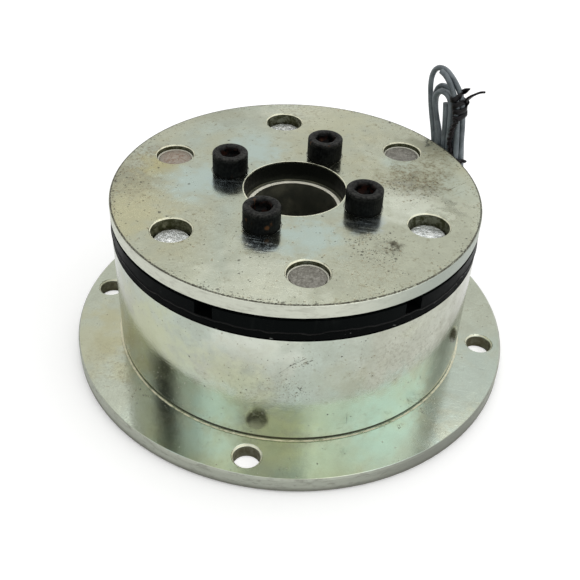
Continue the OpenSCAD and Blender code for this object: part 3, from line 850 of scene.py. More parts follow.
@dataclass(frozen=True)
class BlackSteelFinish:
    """Blackened steel whose coat is brushed and rubbed grey in streaks."""

    name: str
    base: Colour = (0.012, 0.014, 0.014)
    rubbed: Colour = (0.07, 0.075, 0.075)
    rust: Colour = (0.16, 0.05, 0.018)
    rust_share: float = 0.0
    rough: Span = (0.36, 0.56)
    metal: float = 0.55
    gloss: float = 0.5
    streak: Point = (30.0, 30.0, 900.0)
    streak_share: float = 0.35
    glints: float = 0.0

    def material(self) -> bpy.types.Material:
        """Builds the coat's nodes."""
        b = Bench(self.name)
        streaks = b.noise(1.0, 4, 0.65, 0.2, b.mapped(self.streak))
        patches = b.noise(130, 5, 0.6, 0.4)
        rubbed = b.steps(patches, 0.42, 0.66, (0, self.streak_share))
        worn = b.times(b.steps(streaks, 0.52, 0.72), rubbed)
        colour = b.tint(worn, self.base, self.rubbed)
        if self.rust_share:
            rust = b.times(b.steps(b.noise(380, 5, 0.7, 0.6), 0.5, 0.64), self.rust_share)
            colour = b.tint(rust, colour, self.rust)
        if self.glints:
            glint = b.times(b.steps(b.noise(900, 2, 0.5), 0.735, 0.76), self.glints)
            colour = b.tint(glint, colour, (0.65, 0.66, 0.62))
        normal = b.bump(b.noise(1400, 3, 0.6), 0.03, b.bump(streaks, 0.03))
        return b.surface(colour, b.steps(patches, 0.3, 0.7, self.rough), normal, self.metal, self.gloss)


@dataclass(frozen=True)
class ScrewFinish:
    """Black oxide on a cap screw: rubbed and with a painted highlight on the rim, with rust in the socket.
    """

    name: str = "black_screw_finish"
    rust_spot: Point = (-2.6, -23.4, 51.4)

    def material(self) -> bpy.types.Material:
        """Builds the coat's nodes from the marks that the screw's mesh carries."""
        b = Bench(self.name)
        rim = b.marked("rim")
        rusty = b.marked("rusty")
        shade = b.marked("shade")
        grit = b.noise(1500, 4, 0.65)
        patches = b.noise(420, 5, 0.65, 0.4)
        colour = b.tint(b.steps(grit, 0.4, 0.7), (0.0008, 0.0012, 0.0013), (0.0065, 0.0075, 0.007))
        # Partly wear and partly painted highlight: the rim mark greys the head's edges and top face.
        worn = b.times(rim, b.steps(grit, 0.36, 0.64, (0.12, 1.0)))
        colour = b.tint(worn, colour, (0.04, 0.04, 0.036))
        inside = b.times(rusty, b.steps(patches, 0.48, 0.6, (0.0, 0.6)))
        colour = b.tint(inside, colour, (0.03, 0.009, 0.005))
        on_some = b.steps(shade, 0.5, 1.0, (0, 0.5))
        spots = b.times(b.steps(b.noise(330, 3, 0.6), 0.64, 0.7), on_some)
        spots = b.either(spots, b.times(b.near(self.rust_spot, 0.8, 0.3), 0.6))
        colour = b.tint(spots, colour, (0.11, 0.048, 0.018))
        return b.surface(colour, b.steps(patches, 0.3, 0.7, (0.36, 0.55)), b.bump(grit, 0.03), gloss=0.06)


@dataclass(frozen=True)
class RivetFinish:
    """The peened end of a rivet, bright and crumpled or dull and brown."""

    name: str
    low: Colour
    high: Colour
    stain: Colour
    stain_share: float
    metal: float
    rough: Span
    crumple: float
    scale: float = 420.0
    rusted: Point | None = None

    def material(self) -> bpy.types.Material:
        """Builds the peened metal's nodes."""
        b = Bench(self.name)
        shade = b.marked("shade")
        rim = b.marked("rim")
        folds = b.noise(self.scale, 6, 0.7, 1.2)
        fine = b.noise(1900, 4, 0.7)
        colour = b.tint(b.steps(folds, 0.32, 0.68), self.low, self.high)
        colour = b.tint(b.steps(fine, 0.35, 0.65, (0.6, 0.0)), colour, self.low)
        stained = b.steps(b.noise(300, 4, 0.6, 0.5), 0.42, 0.62)
        share = b.times(stained, b.steps(shade, 0.15, 1.0))
        if self.rusted:
            here = b.near(self.rusted, 9.0)
            colour = b.tint(b.times(here, 0.7), colour, (0.36, 0.31, 0.25))
            share = b.times(here, b.steps(b.noise(900, 5, 0.75, 0.8), 0.48, 0.56))
        colour = b.tint(b.times(share, self.stain_share), colour, self.stain)
        # Painted highlight: the rim mark lays a pale ring round the rivet's edge and collar.
        colour = b.tint(b.times(rim, 0.75), colour, (0.6, 0.6, 0.5))
        normal = b.bump(fine, 0.03, b.bump(folds, self.crumple))
        return b.surface(colour, b.steps(folds, 0.3, 0.7, self.rough), normal, self.metal)


@dataclass(frozen=True)
class GroundSteelFinish:
    """Ground or turned bare steel with a film of oil."""

    name: str
    base: Colour = (0.55, 0.55, 0.53)
    dirt: Colour = (0.1, 0.085, 0.06)
    dirt_share: float = 0.35
    rough: Span = (0.16, 0.32)
    lines: Point = (20.0, 20.0, 4200.0)

    def material(self) -> bpy.types.Material:
        """Builds the steel's nodes."""
        b = Bench(self.name)
        lines = b.noise(1.0, 4, 0.65, 0, b.mapped(self.lines))
        film = b.noise(170, 5, 0.65, 0.4)
        colour = b.tint(b.steps(lines, 0.3, 0.7, (0.25, 0.0)), self.base, self.dirt)
        colour = b.tint(b.steps(film, 0.46, 0.7, (0, self.dirt_share)), colour, self.dirt)
        return b.surface(colour, b.steps(film, 0.3, 0.7, self.rough), b.bump(lines, 0.012), metal=1.0)


@dataclass(frozen=True)
class HubFinish:
    """Oily steel in the bore, painted dark with shadow above its turned ledge, and a painted highlight on
    the ledge.
    """

    name: str = "hub_finish"
    base: Colour = (0.17, 0.175, 0.14)
    film: Colour = (0.25, 0.245, 0.18)
    shadow: Colour = (0.012, 0.014, 0.01)
    # The colour of the painted highlight on the ledge.
    pale: Colour = (0.97, 0.95, 0.8)
    ledge_z: float = 43.5
    ledge_r: float = 13.0

    def material(self) -> bpy.types.Material:
        """Builds the steel's nodes."""
        b = Bench(self.name)
        height, reach = b.height_and_reach()
        lines = b.noise(1.0, 4, 0.65, 0, b.mapped((20, 20, 3000)))
        oil = b.noise(200, 5, 0.65, 0.4)
        colour = b.tint(b.steps(oil, 0.42, 0.7), self.base, self.film)
        colour = b.tint(b.above(height, self.ledge_z + 0.3, fade=0.2), colour, self.shadow)
        inner = b.below(reach, self.ledge_r + 0.1, fade=0.2)
        ledge = b.times(b.band(height, self.ledge_z, 0.16), inner)
        # Painted highlight: the ledge is laid pale and unmetallic, broken up by noise.
        rubbed = b.times(ledge, b.steps(b.noise(500, 4, 0.6), 0.3, 0.6, (0.8, 1.0)))
        return b.surface(
            b.tint(rubbed, colour, self.pale),
            rough=b.steps(oil, 0.3, 0.7, (0.3, 0.5)),
            normal=b.bump(lines, 0.012),
            metal=b.steps(ledge, 0.0, 1.0, (0.8, 0.0)),
        )


@dataclass(frozen=True)
class PolymerFinish:
    """Rubber, resin or moulded plastic with dust in its grain."""

    name: str
    base: Colour
    dust: Colour
    dust_share: float = 0.3
    rough: Span = (0.45, 0.65)
    gloss: float = 0.5
    grain: float = 900.0
    depth: float = 0.04

    def material(self) -> bpy.types.Material:
        """Builds the polymer's nodes."""
        b = Bench(self.name)
        broad = b.noise(120, 5, 0.6, 0.4)
        fine = b.noise(self.grain, 5, 0.65)
        colour = b.tint(b.steps(broad, 0.4, 0.72, (0, self.dust_share)), self.base, self.dust)
        colour = b.tint(b.steps(fine, 0.55, 0.75, (0, 0.5 * self.dust_share)), colour, self.dust)
        rough = b.steps(broad, 0.3, 0.7, self.rough)
        return b.surface(colour, rough, b.bump(fine, self.depth), gloss=self.gloss)


@dataclass(frozen=True)
class WoundWireFinish:
    """Enamelled copper wire, seen as the turns of a winding."""

    name: str = "copper_wire_finish"
    pitch: float = 0.6

    def material(self) -> bpy.types.Material:
        """Builds the winding's nodes."""
        b = Bench(self.name)
        inputs = {"Vector": b.place, "Scale": 0.314 / (self.pitch * MM), "Distortion": 0.4}
        turns = b.node("ShaderNodeTexWave", inputs, wave_type="BANDS", bands_direction="Z")
        height = turns.outputs["Fac"]
        colour = b.tint(b.steps(height, 0.1, 0.7), (0.1, 0.025, 0.01), (0.52, 0.2, 0.075))
        rough = b.steps(b.noise(300, 4), 0.3, 0.7, (0.22, 0.4))
        return b.surface(colour, rough, b.bump(height, 0.2), metal=0.8)


@dataclass(frozen=True)
class LeadFinish:
    """Grey insulation, dusty, with a fine grain."""

    name: str = "lead_insulation_finish"

    def material(self) -> bpy.types.Material:
        """Builds the insulation's nodes."""
        b = Bench(self.name)
        broad = b.noise(210, 4, 0.6, 0.4)
        fine = b.noise(1300, 4, 0.7)
        colour = b.tint(b.steps(broad, 0.32, 0.7), (0.05, 0.065, 0.073), (0.14, 0.165, 0.178))
        colour = b.tint(b.steps(fine, 0.52, 0.74, (0, 0.4)), colour, (0.24, 0.26, 0.275))
        return b.surface(colour, b.steps(broad, 0.3, 0.7, (0.36, 0.55)), b.bump(fine, 0.05))


# Mesh helpers


def new_piece(name: str, mesh: bpy.types.Mesh) -> bpy.types.Object:
    """Puts a mesh into the scene under a piece's name."""
    made = bpy.data.objects.new(name, mesh)
    bpy.context.scene.collection.objects.link(made)
    return made


@dataclass(frozen=True)
class Ring:
    """One ring of a turned shape: its radius, or that at each angle, its height, and its marks."""

    radius: float | Callable[[float], float]
    height: float
    # rim: share of the pale rim colour, a painted highlight, with wear on the screws; rusty: share of rust.
    rim: float = 0.0
    rusty: float = 0.0


def hexagon(width: float) -> Callable[[float], float]:
    """A ring with six flats, a width across them in millimetres."""

    def reach(angle: float) -> float:
        """The hexagon's radius at an angle in radians."""
        side = math.fmod(angle, math.pi / 3) - math.pi / 6
        return width / 2 / math.cos(side)

    return reach


def knurled(radius: float, depth: float, ribs: int) -> Callable[[float], float]:
    """A ring with fine ribs, in millimetres."""
    return lambda angle: radius - depth * (0.5 - 0.5 * math.cos(ribs * angle))


def turned(name: str, rings: Sequence[Ring], steps: int) -> bpy.types.Mesh:
    """Turns rings about the Z axis into one closed mesh.

    Args:
        name: Name of the mesh.
        rings: The rings from one pole to the other, sizes in millimetres.
        steps: Corners of each ring.

    Returns:
        The mesh, with the rings' marks as attributes.
    """
    points: list[Vector] = []
    marks: list[tuple[float, float]] = []
    for ring in rings:
        for k in range(steps):
            a = 2 * math.pi * k / steps
            r = ring.radius(a) if callable(ring.radius) else ring.radius
            points.append(Vector((r * math.cos(a), r * math.sin(a), ring.height)) * MM)
            marks.append((ring.rim, ring.rusty))
    faces: list[list[int]] = []
    for i in range(len(rings) - 1):
        for k in range(steps):
            n = (k + 1) % steps
            faces.append([i * steps + k, i * steps + n, (i + 1) * steps + n, (i + 1) * steps + k])
    faces.append(list(range(steps - 1, -1, -1)))
    faces.append([(len(rings) - 1) * steps + k for k in range(steps)])
    mesh = bpy.data.meshes.new(name)
    mesh.from_pydata([tuple(p) for p in points], [], faces)
    for key, column in (("rim", 0), ("rusty", 1)):
        layer = mesh.attributes.new(key, "FLOAT", "POINT")
        layer.data.foreach_set("value", [m[column] for m in marks])
    work = bmesh.new()
    work.from_mesh(mesh)
    bmesh.ops.recalc_face_normals(work, faces=work.faces)
    for face in work.faces:
        face.smooth = len(face.verts) == 4
    work.to_mesh(mesh)
    work.free()
    return mesh


# Geometry node trees


class Tree(Graph):
    """One Geometry Nodes tree with named inputs, baked to a plain mesh when it is used."""

    def __init__(self, name: str, asked: dict[str, tuple[str, object]]) -> None:
        """Starts an empty tree with an output for the geometry and a material to ask for.

        Args:
            name: Name of the tree.
            asked: Its other named inputs: the socket's type, such as Float, and its default.
        """
        super().__init__(bpy.data.node_groups.new(name, "GeometryNodeTree"))
        sockets = self.tree.interface
        sockets.new_socket("Geometry", in_out="OUTPUT", socket_type="NodeSocketGeometry")
        self.ins = self.node("NodeGroupInput")
        self.outs = self.node("NodeGroupOutput")
        self.keys: dict[str, str] = {}
        for key, (kind, default) in {**asked, "Material": ("Material", None)}.items():
            item = sockets.new_socket(key, in_out="INPUT", socket_type=f"NodeSocket{kind}")
            if default is not None:
                item.default_value = default
            self.keys[key] = item.identifier

    def given(self, name: str) -> Socket:
        """The socket of a named input inside the tree."""
        return self.ins.outputs[name]

    def finish(self, last: bpy.types.Node) -> None:
        """Gives the last node's geometry the asked material and joins it to the output."""
        dressed = self.node(
            "GeometryNodeSetMaterial", {"Geometry": last.outputs[0], "Material": self.given("Material")}
        )
        self.feed(self.outs.inputs["Geometry"], dressed.outputs[0])

    def bake(self, name: str, values: dict[str, object]) -> bpy.types.Object:
        """Runs the tree once and keeps the result as a plain mesh.

        Args:
            name: Name of the piece.
            values: Values of the named inputs.

        Returns:
            The piece, with no modifier left on it.
        """
        piece = new_piece(name, bpy.data.meshes.new(name))
        modifier = piece.modifiers.new("build", "NODES")
        modifier.node_group = self.tree
        for key, value in values.items():
            modifier[self.keys[key]] = value
        bpy.context.view_layer.update()
        graph = bpy.context.evaluated_depsgraph_get()
        mesh = bpy.data.meshes.new_from_object(
            piece.evaluated_get(graph), preserve_all_data_layers=True, depsgraph=graph
        )
        piece.modifiers.clear()
        piece.data = mesh
        mesh.name = name
        return piece


def ring_tree() -> Tree:
    """A tree that repeats one part round the shaft, each copy turned and shaded its own way.

    Returns:
        The tree. Its part is drawn at the shaft axis, and each copy is carried out along
        the radius and turned about its own axis by a seeded amount.
    """
    asked = {
        "Part": ("Object", None),
        "Count": ("Int", 4),
        "Radius": ("Float", 0.02),
        "Start angle": ("Float", 0.0),
        "Spin": ("Float", 0.0),
        "Crumple depth": ("Float", 0.0),
        "Crumple scale": ("Float", 500.0),
        "Crumple above": ("Float", 1.0),
        "Seed": ("Int", 1),
    }
    t = Tree("parts_round_the_shaft", asked)
    index = t.node("GeometryNodeInputIndex").outputs[0]
    step = t.math("DIVIDE", 2 * math.pi, t.given("Count"))
    angle = t.math("ADD", t.given("Start angle"), t.math("MULTIPLY", index, step))
    x = t.math("MULTIPLY", t.given("Radius"), t.math("SINE", angle))
    y = t.math("MULTIPLY", t.given("Radius"), t.math("MULTIPLY", t.math("COSINE", angle), -1.0))
    spot = t.node("ShaderNodeCombineXYZ", {"X": x, "Y": y}).outputs[0]
    points = t.node("GeometryNodePoints", {"Count": t.given("Count"), "Position": spot})
    wheel = t.node("FunctionNodeRandomValue", {"Seed": t.given("Seed")}, data_type="FLOAT")
    spin = t.math("MULTIPLY", wheel.outputs[1], t.given("Spin"))
    turn = t.node("ShaderNodeCombineXYZ", {"Z": t.math("ADD", angle, spin)}).outputs[0]
    part = t.node("GeometryNodeObjectInfo", {"Object": t.given("Part")}, transform_space="ORIGINAL")
    copies = t.node(
        "GeometryNodeInstanceOnPoints",
        {"Points": points.outputs[0], "Instance": part.outputs["Geometry"], "Rotation": turn},
    )
    shade = t.node(
        "FunctionNodeRandomValue", {"Seed": t.math("ADD", t.given("Seed"), 7.0)}, data_type="FLOAT"
    )
    shaded = t.node(
        "GeometryNodeStoreNamedAttribute",
        {"Geometry": copies.outputs[0], "Name": "shade", "Value": shade.outputs[1]},
        data_type="FLOAT",
        domain="INSTANCE",
    )
    real = t.node("GeometryNodeRealizeInstances", {"Geometry": shaded.outputs[0]})
    where = t.node("GeometryNodeInputPosition").outputs[0]
    height = t.node("ShaderNodeSeparateXYZ", {0: where}).outputs["Z"]
    normal = t.node("GeometryNodeInputNormal").outputs[0]
    upward = t.node("ShaderNodeSeparateXYZ", {0: normal}).outputs["Z"]
    high = t.node("FunctionNodeCompare", {0: height, 1: t.given("Crumple above")}, data_type="FLOAT")
    facing = t.node("FunctionNodeCompare", {0: upward, 1: 0.6}, data_type="FLOAT")
    both = t.node("FunctionNodeBooleanMath", {0: high.outputs[0], 1: facing.outputs[0]})
    folds = t.node(
        "ShaderNodeTexNoise",
        {
            "Vector": where,
            "Scale": t.given("Crumple scale"),
            "Detail": 4.0,
            "Roughness": 0.6,
            "Distortion": 0.8,
        },
    )
    lift = t.math("MULTIPLY", t.math("SUBTRACT", folds.outputs[0], 0.62), t.given("Crumple depth"))
    offset = t.node("ShaderNodeCombineXYZ", {"Z": lift}).outputs[0]
    crumpled = t.node(
        "GeometryNodeSetPosition",
        {"Geometry": real.outputs[0], "Selection": both.outputs[0], "Offset": offset},
    )
    t.finish(crumpled)
    return t


def bead_tree() -> Tree:
    """A tree that lays a wavy bead of adhesive round the shaft.

    Returns:
        The tree, with the bead's radius, height, thickness and waves as inputs.
    """
    asked = {
        "Radius": ("Float", 0.05),
        "Height": ("Float", 0.04),
        "Thickness": ("Float", 0.0003),
        "Wave height": ("Float", 0.0008),
        "Wave scale": ("Float", 120.0),
    }
    t = Tree("bead_round_the_rim", asked)
    loop = t.node(
        "GeometryNodeCurvePrimitiveCircle",
        {"Resolution": 480, "Radius": t.given("Radius")},
        mode="RADIUS",
    )
    where = t.node("GeometryNodeInputPosition").outputs[0]
    wave = t.node(
        "ShaderNodeTexNoise",
        {"Vector": where, "Scale": t.given("Wave scale"), "Detail": 1.5, "Roughness": 0.5},
    )
    calm = t.node("ShaderNodeTexNoise", {"Vector": where, "Scale": 22.0, "Detail": 0.0})
    share = t.math("MULTIPLY", calm.outputs[0], t.given("Wave height"))
    waves = t.math("MULTIPLY", t.math("SUBTRACT", wave.outputs[0], 0.5), share)
    lift = t.math("ADD", t.given("Height"), waves)
    offset = t.node("ShaderNodeCombineXYZ", {"Z": lift}).outputs[0]
    waved = t.node("GeometryNodeSetPosition", {"Geometry": loop.outputs[0], "Offset": offset})
    section = t.node(
        "GeometryNodeCurvePrimitiveCircle", {"Resolution": 8, "Radius": t.given("Thickness")}, mode="RADIUS"
    )
    tube = t.node(
        "GeometryNodeCurveToMesh", {"Curve": waved.outputs[0], "Profile Curve": section.outputs[0]}
    )
    smooth = t.node("GeometryNodeSetShadeSmooth", {"Geometry": tube.outputs[0]})
    real = t.node("GeometryNodeRealizeInstances", {"Geometry": smooth.outputs[0]})
    t.finish(real)
    return t


# The object


def dress(finish: object, *nodes: str) -> None:
    """Gives carried-over CAD nodes a finish and leaves their meshes alone.

    Args:
        finish: A finish with a material method.
        *nodes: Names of the nodes.
    """
    material = finish.material()
    for name in nodes:
        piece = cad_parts[name]
        for slot in piece.material_slots:
            slot.material = material
        LOG.info("%s wears %s", name, material.name)


def settle(piece: bpy.types.Object, body: Body, slot: str, *nodes: str) -> bpy.types.Object:
    """Makes a new piece ride on its body and stand for its CAD nodes.

    Args:
        piece: The piece.
        body: The body it rides on.
        slot: Not used.
        *nodes: CAD nodes that it replaces.

    Returns:
        The piece.
    """
    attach(piece, body.value)
    if nodes:
        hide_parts(*nodes)
    LOG.info("%s rides on %s", piece.name, body.value)
    return piece


@dataclass
class MagnetBody:
    """The fixed side: flange, cup, coil, bearing seat and grommet."""

    def dress_steel(self) -> None:
        """Plates the flange and the cup, and blackens the screws and rings."""
        dress(
            ZincFinish(
                "zinc_flange_finish",
                Palette(base=(0.48, 0.515, 0.42)),
                seed=3.1,
                straw_share=0.5,
                fleck_share=0.35,
                stain_share=0.15,
                speckle=0.015,
                speck_fineness=1.5,
                walls=Walls(below=4.2, within=60.5, colour=(0.14, 0.13, 0.075)),
                rim_highlights=(
                    RimHighlights(around(0, 90, 56.25), 3.7, 0.22, 4.3),
                    RimHighlights(SHAFT, 50.0, 0.34, 4.6, colour=(0.82, 0.78, 0.58)),
                ),
                edge=OuterEdge(62.05, 4.6, shaded_side_at=(50, -38, 2), grey=(0.2, 0.21, 0.18)),
                patches=FLANGE_MARKS,
            ),
            "mounting_flange",
        )
        dress(
            ZincFinish(
                "zinc_body_finish",
                Palette(
                    base=(0.565, 0.585, 0.5),
                    teal=(0.5, 0.62, 0.56),
                    straw=(0.6, 0.64, 0.42),
                    pale=(0.74, 0.77, 0.68),
                ),
                seed=7.7,
                teal_share=0.5,
                anisotropy=0.45,
                grain=Grain.TURNED,
                grain_depth=0.006,
                speckle=0.02,
                speck_fineness=1.7,
                foot=FootShadeLine(below=5.04),
                strokes=CUP_STROKES,
                patches=CUP_MARKS,
            ),
            "field_shell",
        )
        dress(BlackSteelFinish("flange_screw_finish", rust_share=0.3), *numbered("flange_screw", 4))
        dress(
            BlackSteelFinish("retaining_ring_finish", base=(0.03, 0.03, 0.03), metal=0.9),
            "bore_retaining_ring",
            "hub_retaining_ring",
        )

    def dress_coil(self) -> None:
        """Finishes the bobbin, winding, potting and grommet."""
        dress(PolymerFinish("bobbin_finish", (0.62, 0.58, 0.46), (0.4, 0.36, 0.27)), "coil_bobbin")
        dress(WoundWireFinish(), "coil_winding")
        dress(
            PolymerFinish("potting_finish", (0.014, 0.016, 0.017), (0.1, 0.1, 0.09), 0.4, (0.25, 0.5)),
            "coil_potting",
        )
        dress(
            PolymerFinish("grommet_finish", (0.014, 0.014, 0.015), (0.08, 0.08, 0.08), 0.4),
            "lead_grommet",
        )

    def dress_bearing(self) -> None:
        """Finishes the ball bearing."""
        dress(GroundSteelFinish("bearing_steel_finish"), "bearing_outer_ring", "bearing_inner_ring")
        dress(
            GroundSteelFinish("ball_finish", (0.72, 0.72, 0.72), dirt_share=0.1, rough=(0.05, 0.12)),
            "bearing_balls",
        )
        dress(
            GroundSteelFinish("cage_finish", (0.6, 0.42, 0.16), (0.18, 0.1, 0.03), rough=(0.25, 0.4)),
            "bearing_cage",
        )
        dress(
            PolymerFinish("seal_finish", (0.012, 0.012, 0.013), (0.06, 0.06, 0.055), 0.5),
            "bearing_lower_seal",
            "bearing_upper_seal",
        )


@dataclass
class CapScrews:
    """Four socket head cap screws in the drive plate."""

    count: int = 4
    circle_r: float = SCREW_CIRCLE
    start_angle: float = SCREW_START
    seat_z: float = 49.1
    head_r: float = 4.9
    head_h: float = 6.0
    shank_r: float = 3.0
    length: float = 10.0
    socket_w: float = 5.0
    socket_depth: float = 3.0
    round_r: float = 0.55
    ribs: int = 48
    rib_depth: float = 0.08
    spin: float = 1.05
    seed: int = 5
    steps: int = 192

    def rings(self) -> list[Ring]:
        """The rings of one screw, from its tip up over the head and down the socket."""
        z, r, top = self.seat_z, self.head_r, self.seat_z + self.head_h
        ribbed = knurled(r, self.rib_depth, self.ribs)
        out = [
            Ring(0.01, z - self.length),
            Ring(self.shank_r - 0.5, z - self.length),
            Ring(self.shank_r, z - self.length + 0.5),
            Ring(self.shank_r, z),
            Ring(r - 0.35, z, 0.6),
            Ring(r - 0.05, z + 0.25, 0.5),
            Ring(r - self.rib_depth, z + 0.45),
            Ring(ribbed, z + 0.65),
            Ring(ribbed, z + 4.6),
            Ring(r - 0.1, z + 4.85, 0.1),
            Ring(r, z + 5.05, 0.2),
        ]
        for k in range(6):
            a = math.radians(18 * k)
            shoulder = r - self.round_r * (1 - math.cos(a))
            out.append(Ring(shoulder, top - self.round_r * (1 - math.sin(a)), 0.3 + 0.12 * k))
        mouth = self.socket_w / math.sqrt(3) + 0.12
        flats = hexagon(self.socket_w)
        out += [
            Ring(r - 0.75, top, 0.8),
            Ring(mouth + 0.55, top, 0.5),
            Ring(mouth, top - 0.03, 0.4),
            Ring(flats, top - 0.3, 0.1, 0.5),
            Ring(flats, top - 1.2, 0.0, 1.0),
            Ring(flats, top - self.socket_depth, 0.0, 1.0),
            Ring(0.8 * self.socket_w / 2, top - self.socket_depth - 0.05, 0.0, 1.0),
            Ring(0.01, top - self.socket_depth - 0.75, 0.0, 1.0),
        ]
        return out

    def build(self, tree: Tree) -> bpy.types.Object:
        """Makes the four screws as one piece that replaces their CAD nodes."""
        one = new_piece("one_cap_screw", turned("one_cap_screw", self.rings(), self.steps))
        made = tree.bake(
            "cap_screws",
            {
                "Part": one,
                "Count": self.count,
                "Radius": self.circle_r * MM,
                "Start angle": math.radians(self.start_angle),
                "Spin": self.spin,
                "Seed": self.seed,
                "Material": ScrewFinish().material(),
            },
        )
        bpy.data.objects.remove(one)
        return settle(made, Body.ROTOR, "black_screw", *numbered("cap_screw", self.count))


@dataclass
class Rivets:
    """Three peened rivets on the leaf springs, seen in the drive plate's holes."""

    name: str
    body: Body
    slot: str
    start_angle: float
    top_z: float
    head_h: float
    foot_top_z: float
    foot_z: float
    finish: RivetFinish
    crumple: float
    crumple_scale: float
    seed: int
    collar_r: float = 0.0
    count: int = 3
    circle_r: float = RIVET_CIRCLE
    head_r: float = 4.7
    shank_r: float = 2.5
    spin: float = 6.2
    steps: int = 72
    crown_rings: int = 18

    def rings(self) -> list[Ring]:
        """The rings of one rivet, from its foot up to the peened end."""
        out = [
            Ring(0.01, self.foot_z),
            Ring(self.head_r - 0.15, self.foot_z),
            Ring(self.head_r, self.foot_z + 0.15),
            Ring(self.head_r, self.foot_top_z),
            Ring(self.shank_r, self.foot_top_z),
            Ring(self.shank_r, self.top_z - self.head_h),
            Ring(self.head_r, self.top_z - self.head_h),
        ]
        if self.collar_r:
            out += [
                Ring(self.collar_r, self.top_z - 0.8, 1.0),
                Ring(self.collar_r, self.top_z - 0.06, 1.0),
                Ring(self.collar_r - 0.12, self.top_z + 0.05, 1.0),
                Ring(self.head_r + 0.04, self.top_z + 0.02, 1.0),
                Ring(self.head_r - 0.04, self.top_z - 0.25, 0.1),
                Ring(self.head_r - 0.12, self.top_z - 0.22),
            ]
        else:
            out += [
                Ring(self.head_r, self.top_z - 0.22, 0.8),
                Ring(self.head_r - 0.06, self.top_z - 0.08, 1.0),
            ]
        out.append(Ring(self.head_r - 0.22, self.top_z, 0.0 if self.collar_r else 0.7))
        for k in range(self.crown_rings):
            share = 1 - k / self.crown_rings
            out.append(Ring((self.head_r - 0.35) * share + 0.01, self.top_z))
        return out

    def build(self, tree: Tree) -> bpy.types.Object:
        """Makes the three rivets as one piece that replaces their CAD nodes."""
        one = new_piece(f"one_{self.name}", turned(f"one_{self.name}", self.rings(), self.steps))
        made = tree.bake(
            f"{self.name}s",
            {
                "Part": one,
                "Count": self.count,
                "Radius": self.circle_r * MM,
                "Start angle": math.radians(self.start_angle),
                "Spin": self.spin,
                "Crumple depth": self.crumple * MM,
                "Crumple scale": self.crumple_scale,
                "Crumple above": (self.top_z - 0.05) * MM,
                "Seed": self.seed,
                "Material": self.finish.material(),
            },
        )
        bpy.data.objects.remove(one)
        return settle(made, self.body, self.slot, *numbered(self.name, self.count))


@dataclass
class Rotor:
    """The turning side: hub, drive plate, screws, rivets and springs."""

    screws: CapScrews = field(default_factory=CapScrews)

    def dress_plate(self) -> None:
        """Plates the drive plate, with the marks of handling in their places."""
        dress(
            ZincFinish(
                "zinc_plate_finish",
                Palette(base=(0.46, 0.48, 0.37)),
                seed=1.3,
                fleck_share=0.75,
                rough=(0.11, 0.22),
                walls=Walls(below=49.05, within=48.6, bore_r=13.85),
                rim_highlights=(
                    RimHighlights(around(RIVET_START, 60, RIVET_CIRCLE), 5.42, 0.16, 49.05),
                    RimHighlights(around(SCREW_START, 90, SCREW_CIRCLE), 5.06, 0.16, 49.05, (0.5, 0.51, 0.44)),
                    RimHighlights(SHAFT, 13.95, 0.17, 49.2),
                ),
                edge=OuterEdge(
                    49.5,
                    49.25,
                    shaded_side_at=(44, -23, 47),
                    colour=(0.58, 0.6, 0.51),
                    dirt=(0.2, 0.19, 0.15),
                    dirt_share=0.3,
                    dull=0.55,
                ),
                line=PittedLine(49.34, 0.28, 49.0, pits_within=2.4),
                patches=PLATE_MARKS,
                strokes=PLATE_STROKES,
            ),
            "drive_plate",
        )

    def dress_inside(self) -> None:
        """Finishes the hub and the leaf springs."""
        dress(HubFinish(), "hub")
        dress(
            GroundSteelFinish("spring_finish", (0.3, 0.33, 0.36), dirt_share=0.3, lines=(900, 40, 40)),
            *numbered("leaf_spring", 3),
        )

    def build(self, tree: Tree) -> None:
        """Makes the screws and the drive rivets."""
        self.screws.build(tree)
        Rivets(
            name="drive_rivet",
            body=Body.ROTOR,
            slot="brown_rivet",
            start_angle=RIVET_START,
            top_z=48.1,
            head_h=1.1,
            foot_top_z=44.8,
            foot_z=43.7,
            finish=RivetFinish(
                "brown_rivet_finish",
                low=(0.09, 0.085, 0.065),
                high=(0.32, 0.31, 0.275),
                stain=(0.17, 0.1, 0.062),
                stain_share=0.8,
                metal=0.45,
                rough=(0.34, 0.55),
                crumple=0.14,
                scale=900.0,
                rusted=(-36.5, 9.6, 48.1),
            ),
            crumple=0.14,
            crumple_scale=900,
            seed=11,
            collar_r=5.15,
        ).build(tree)


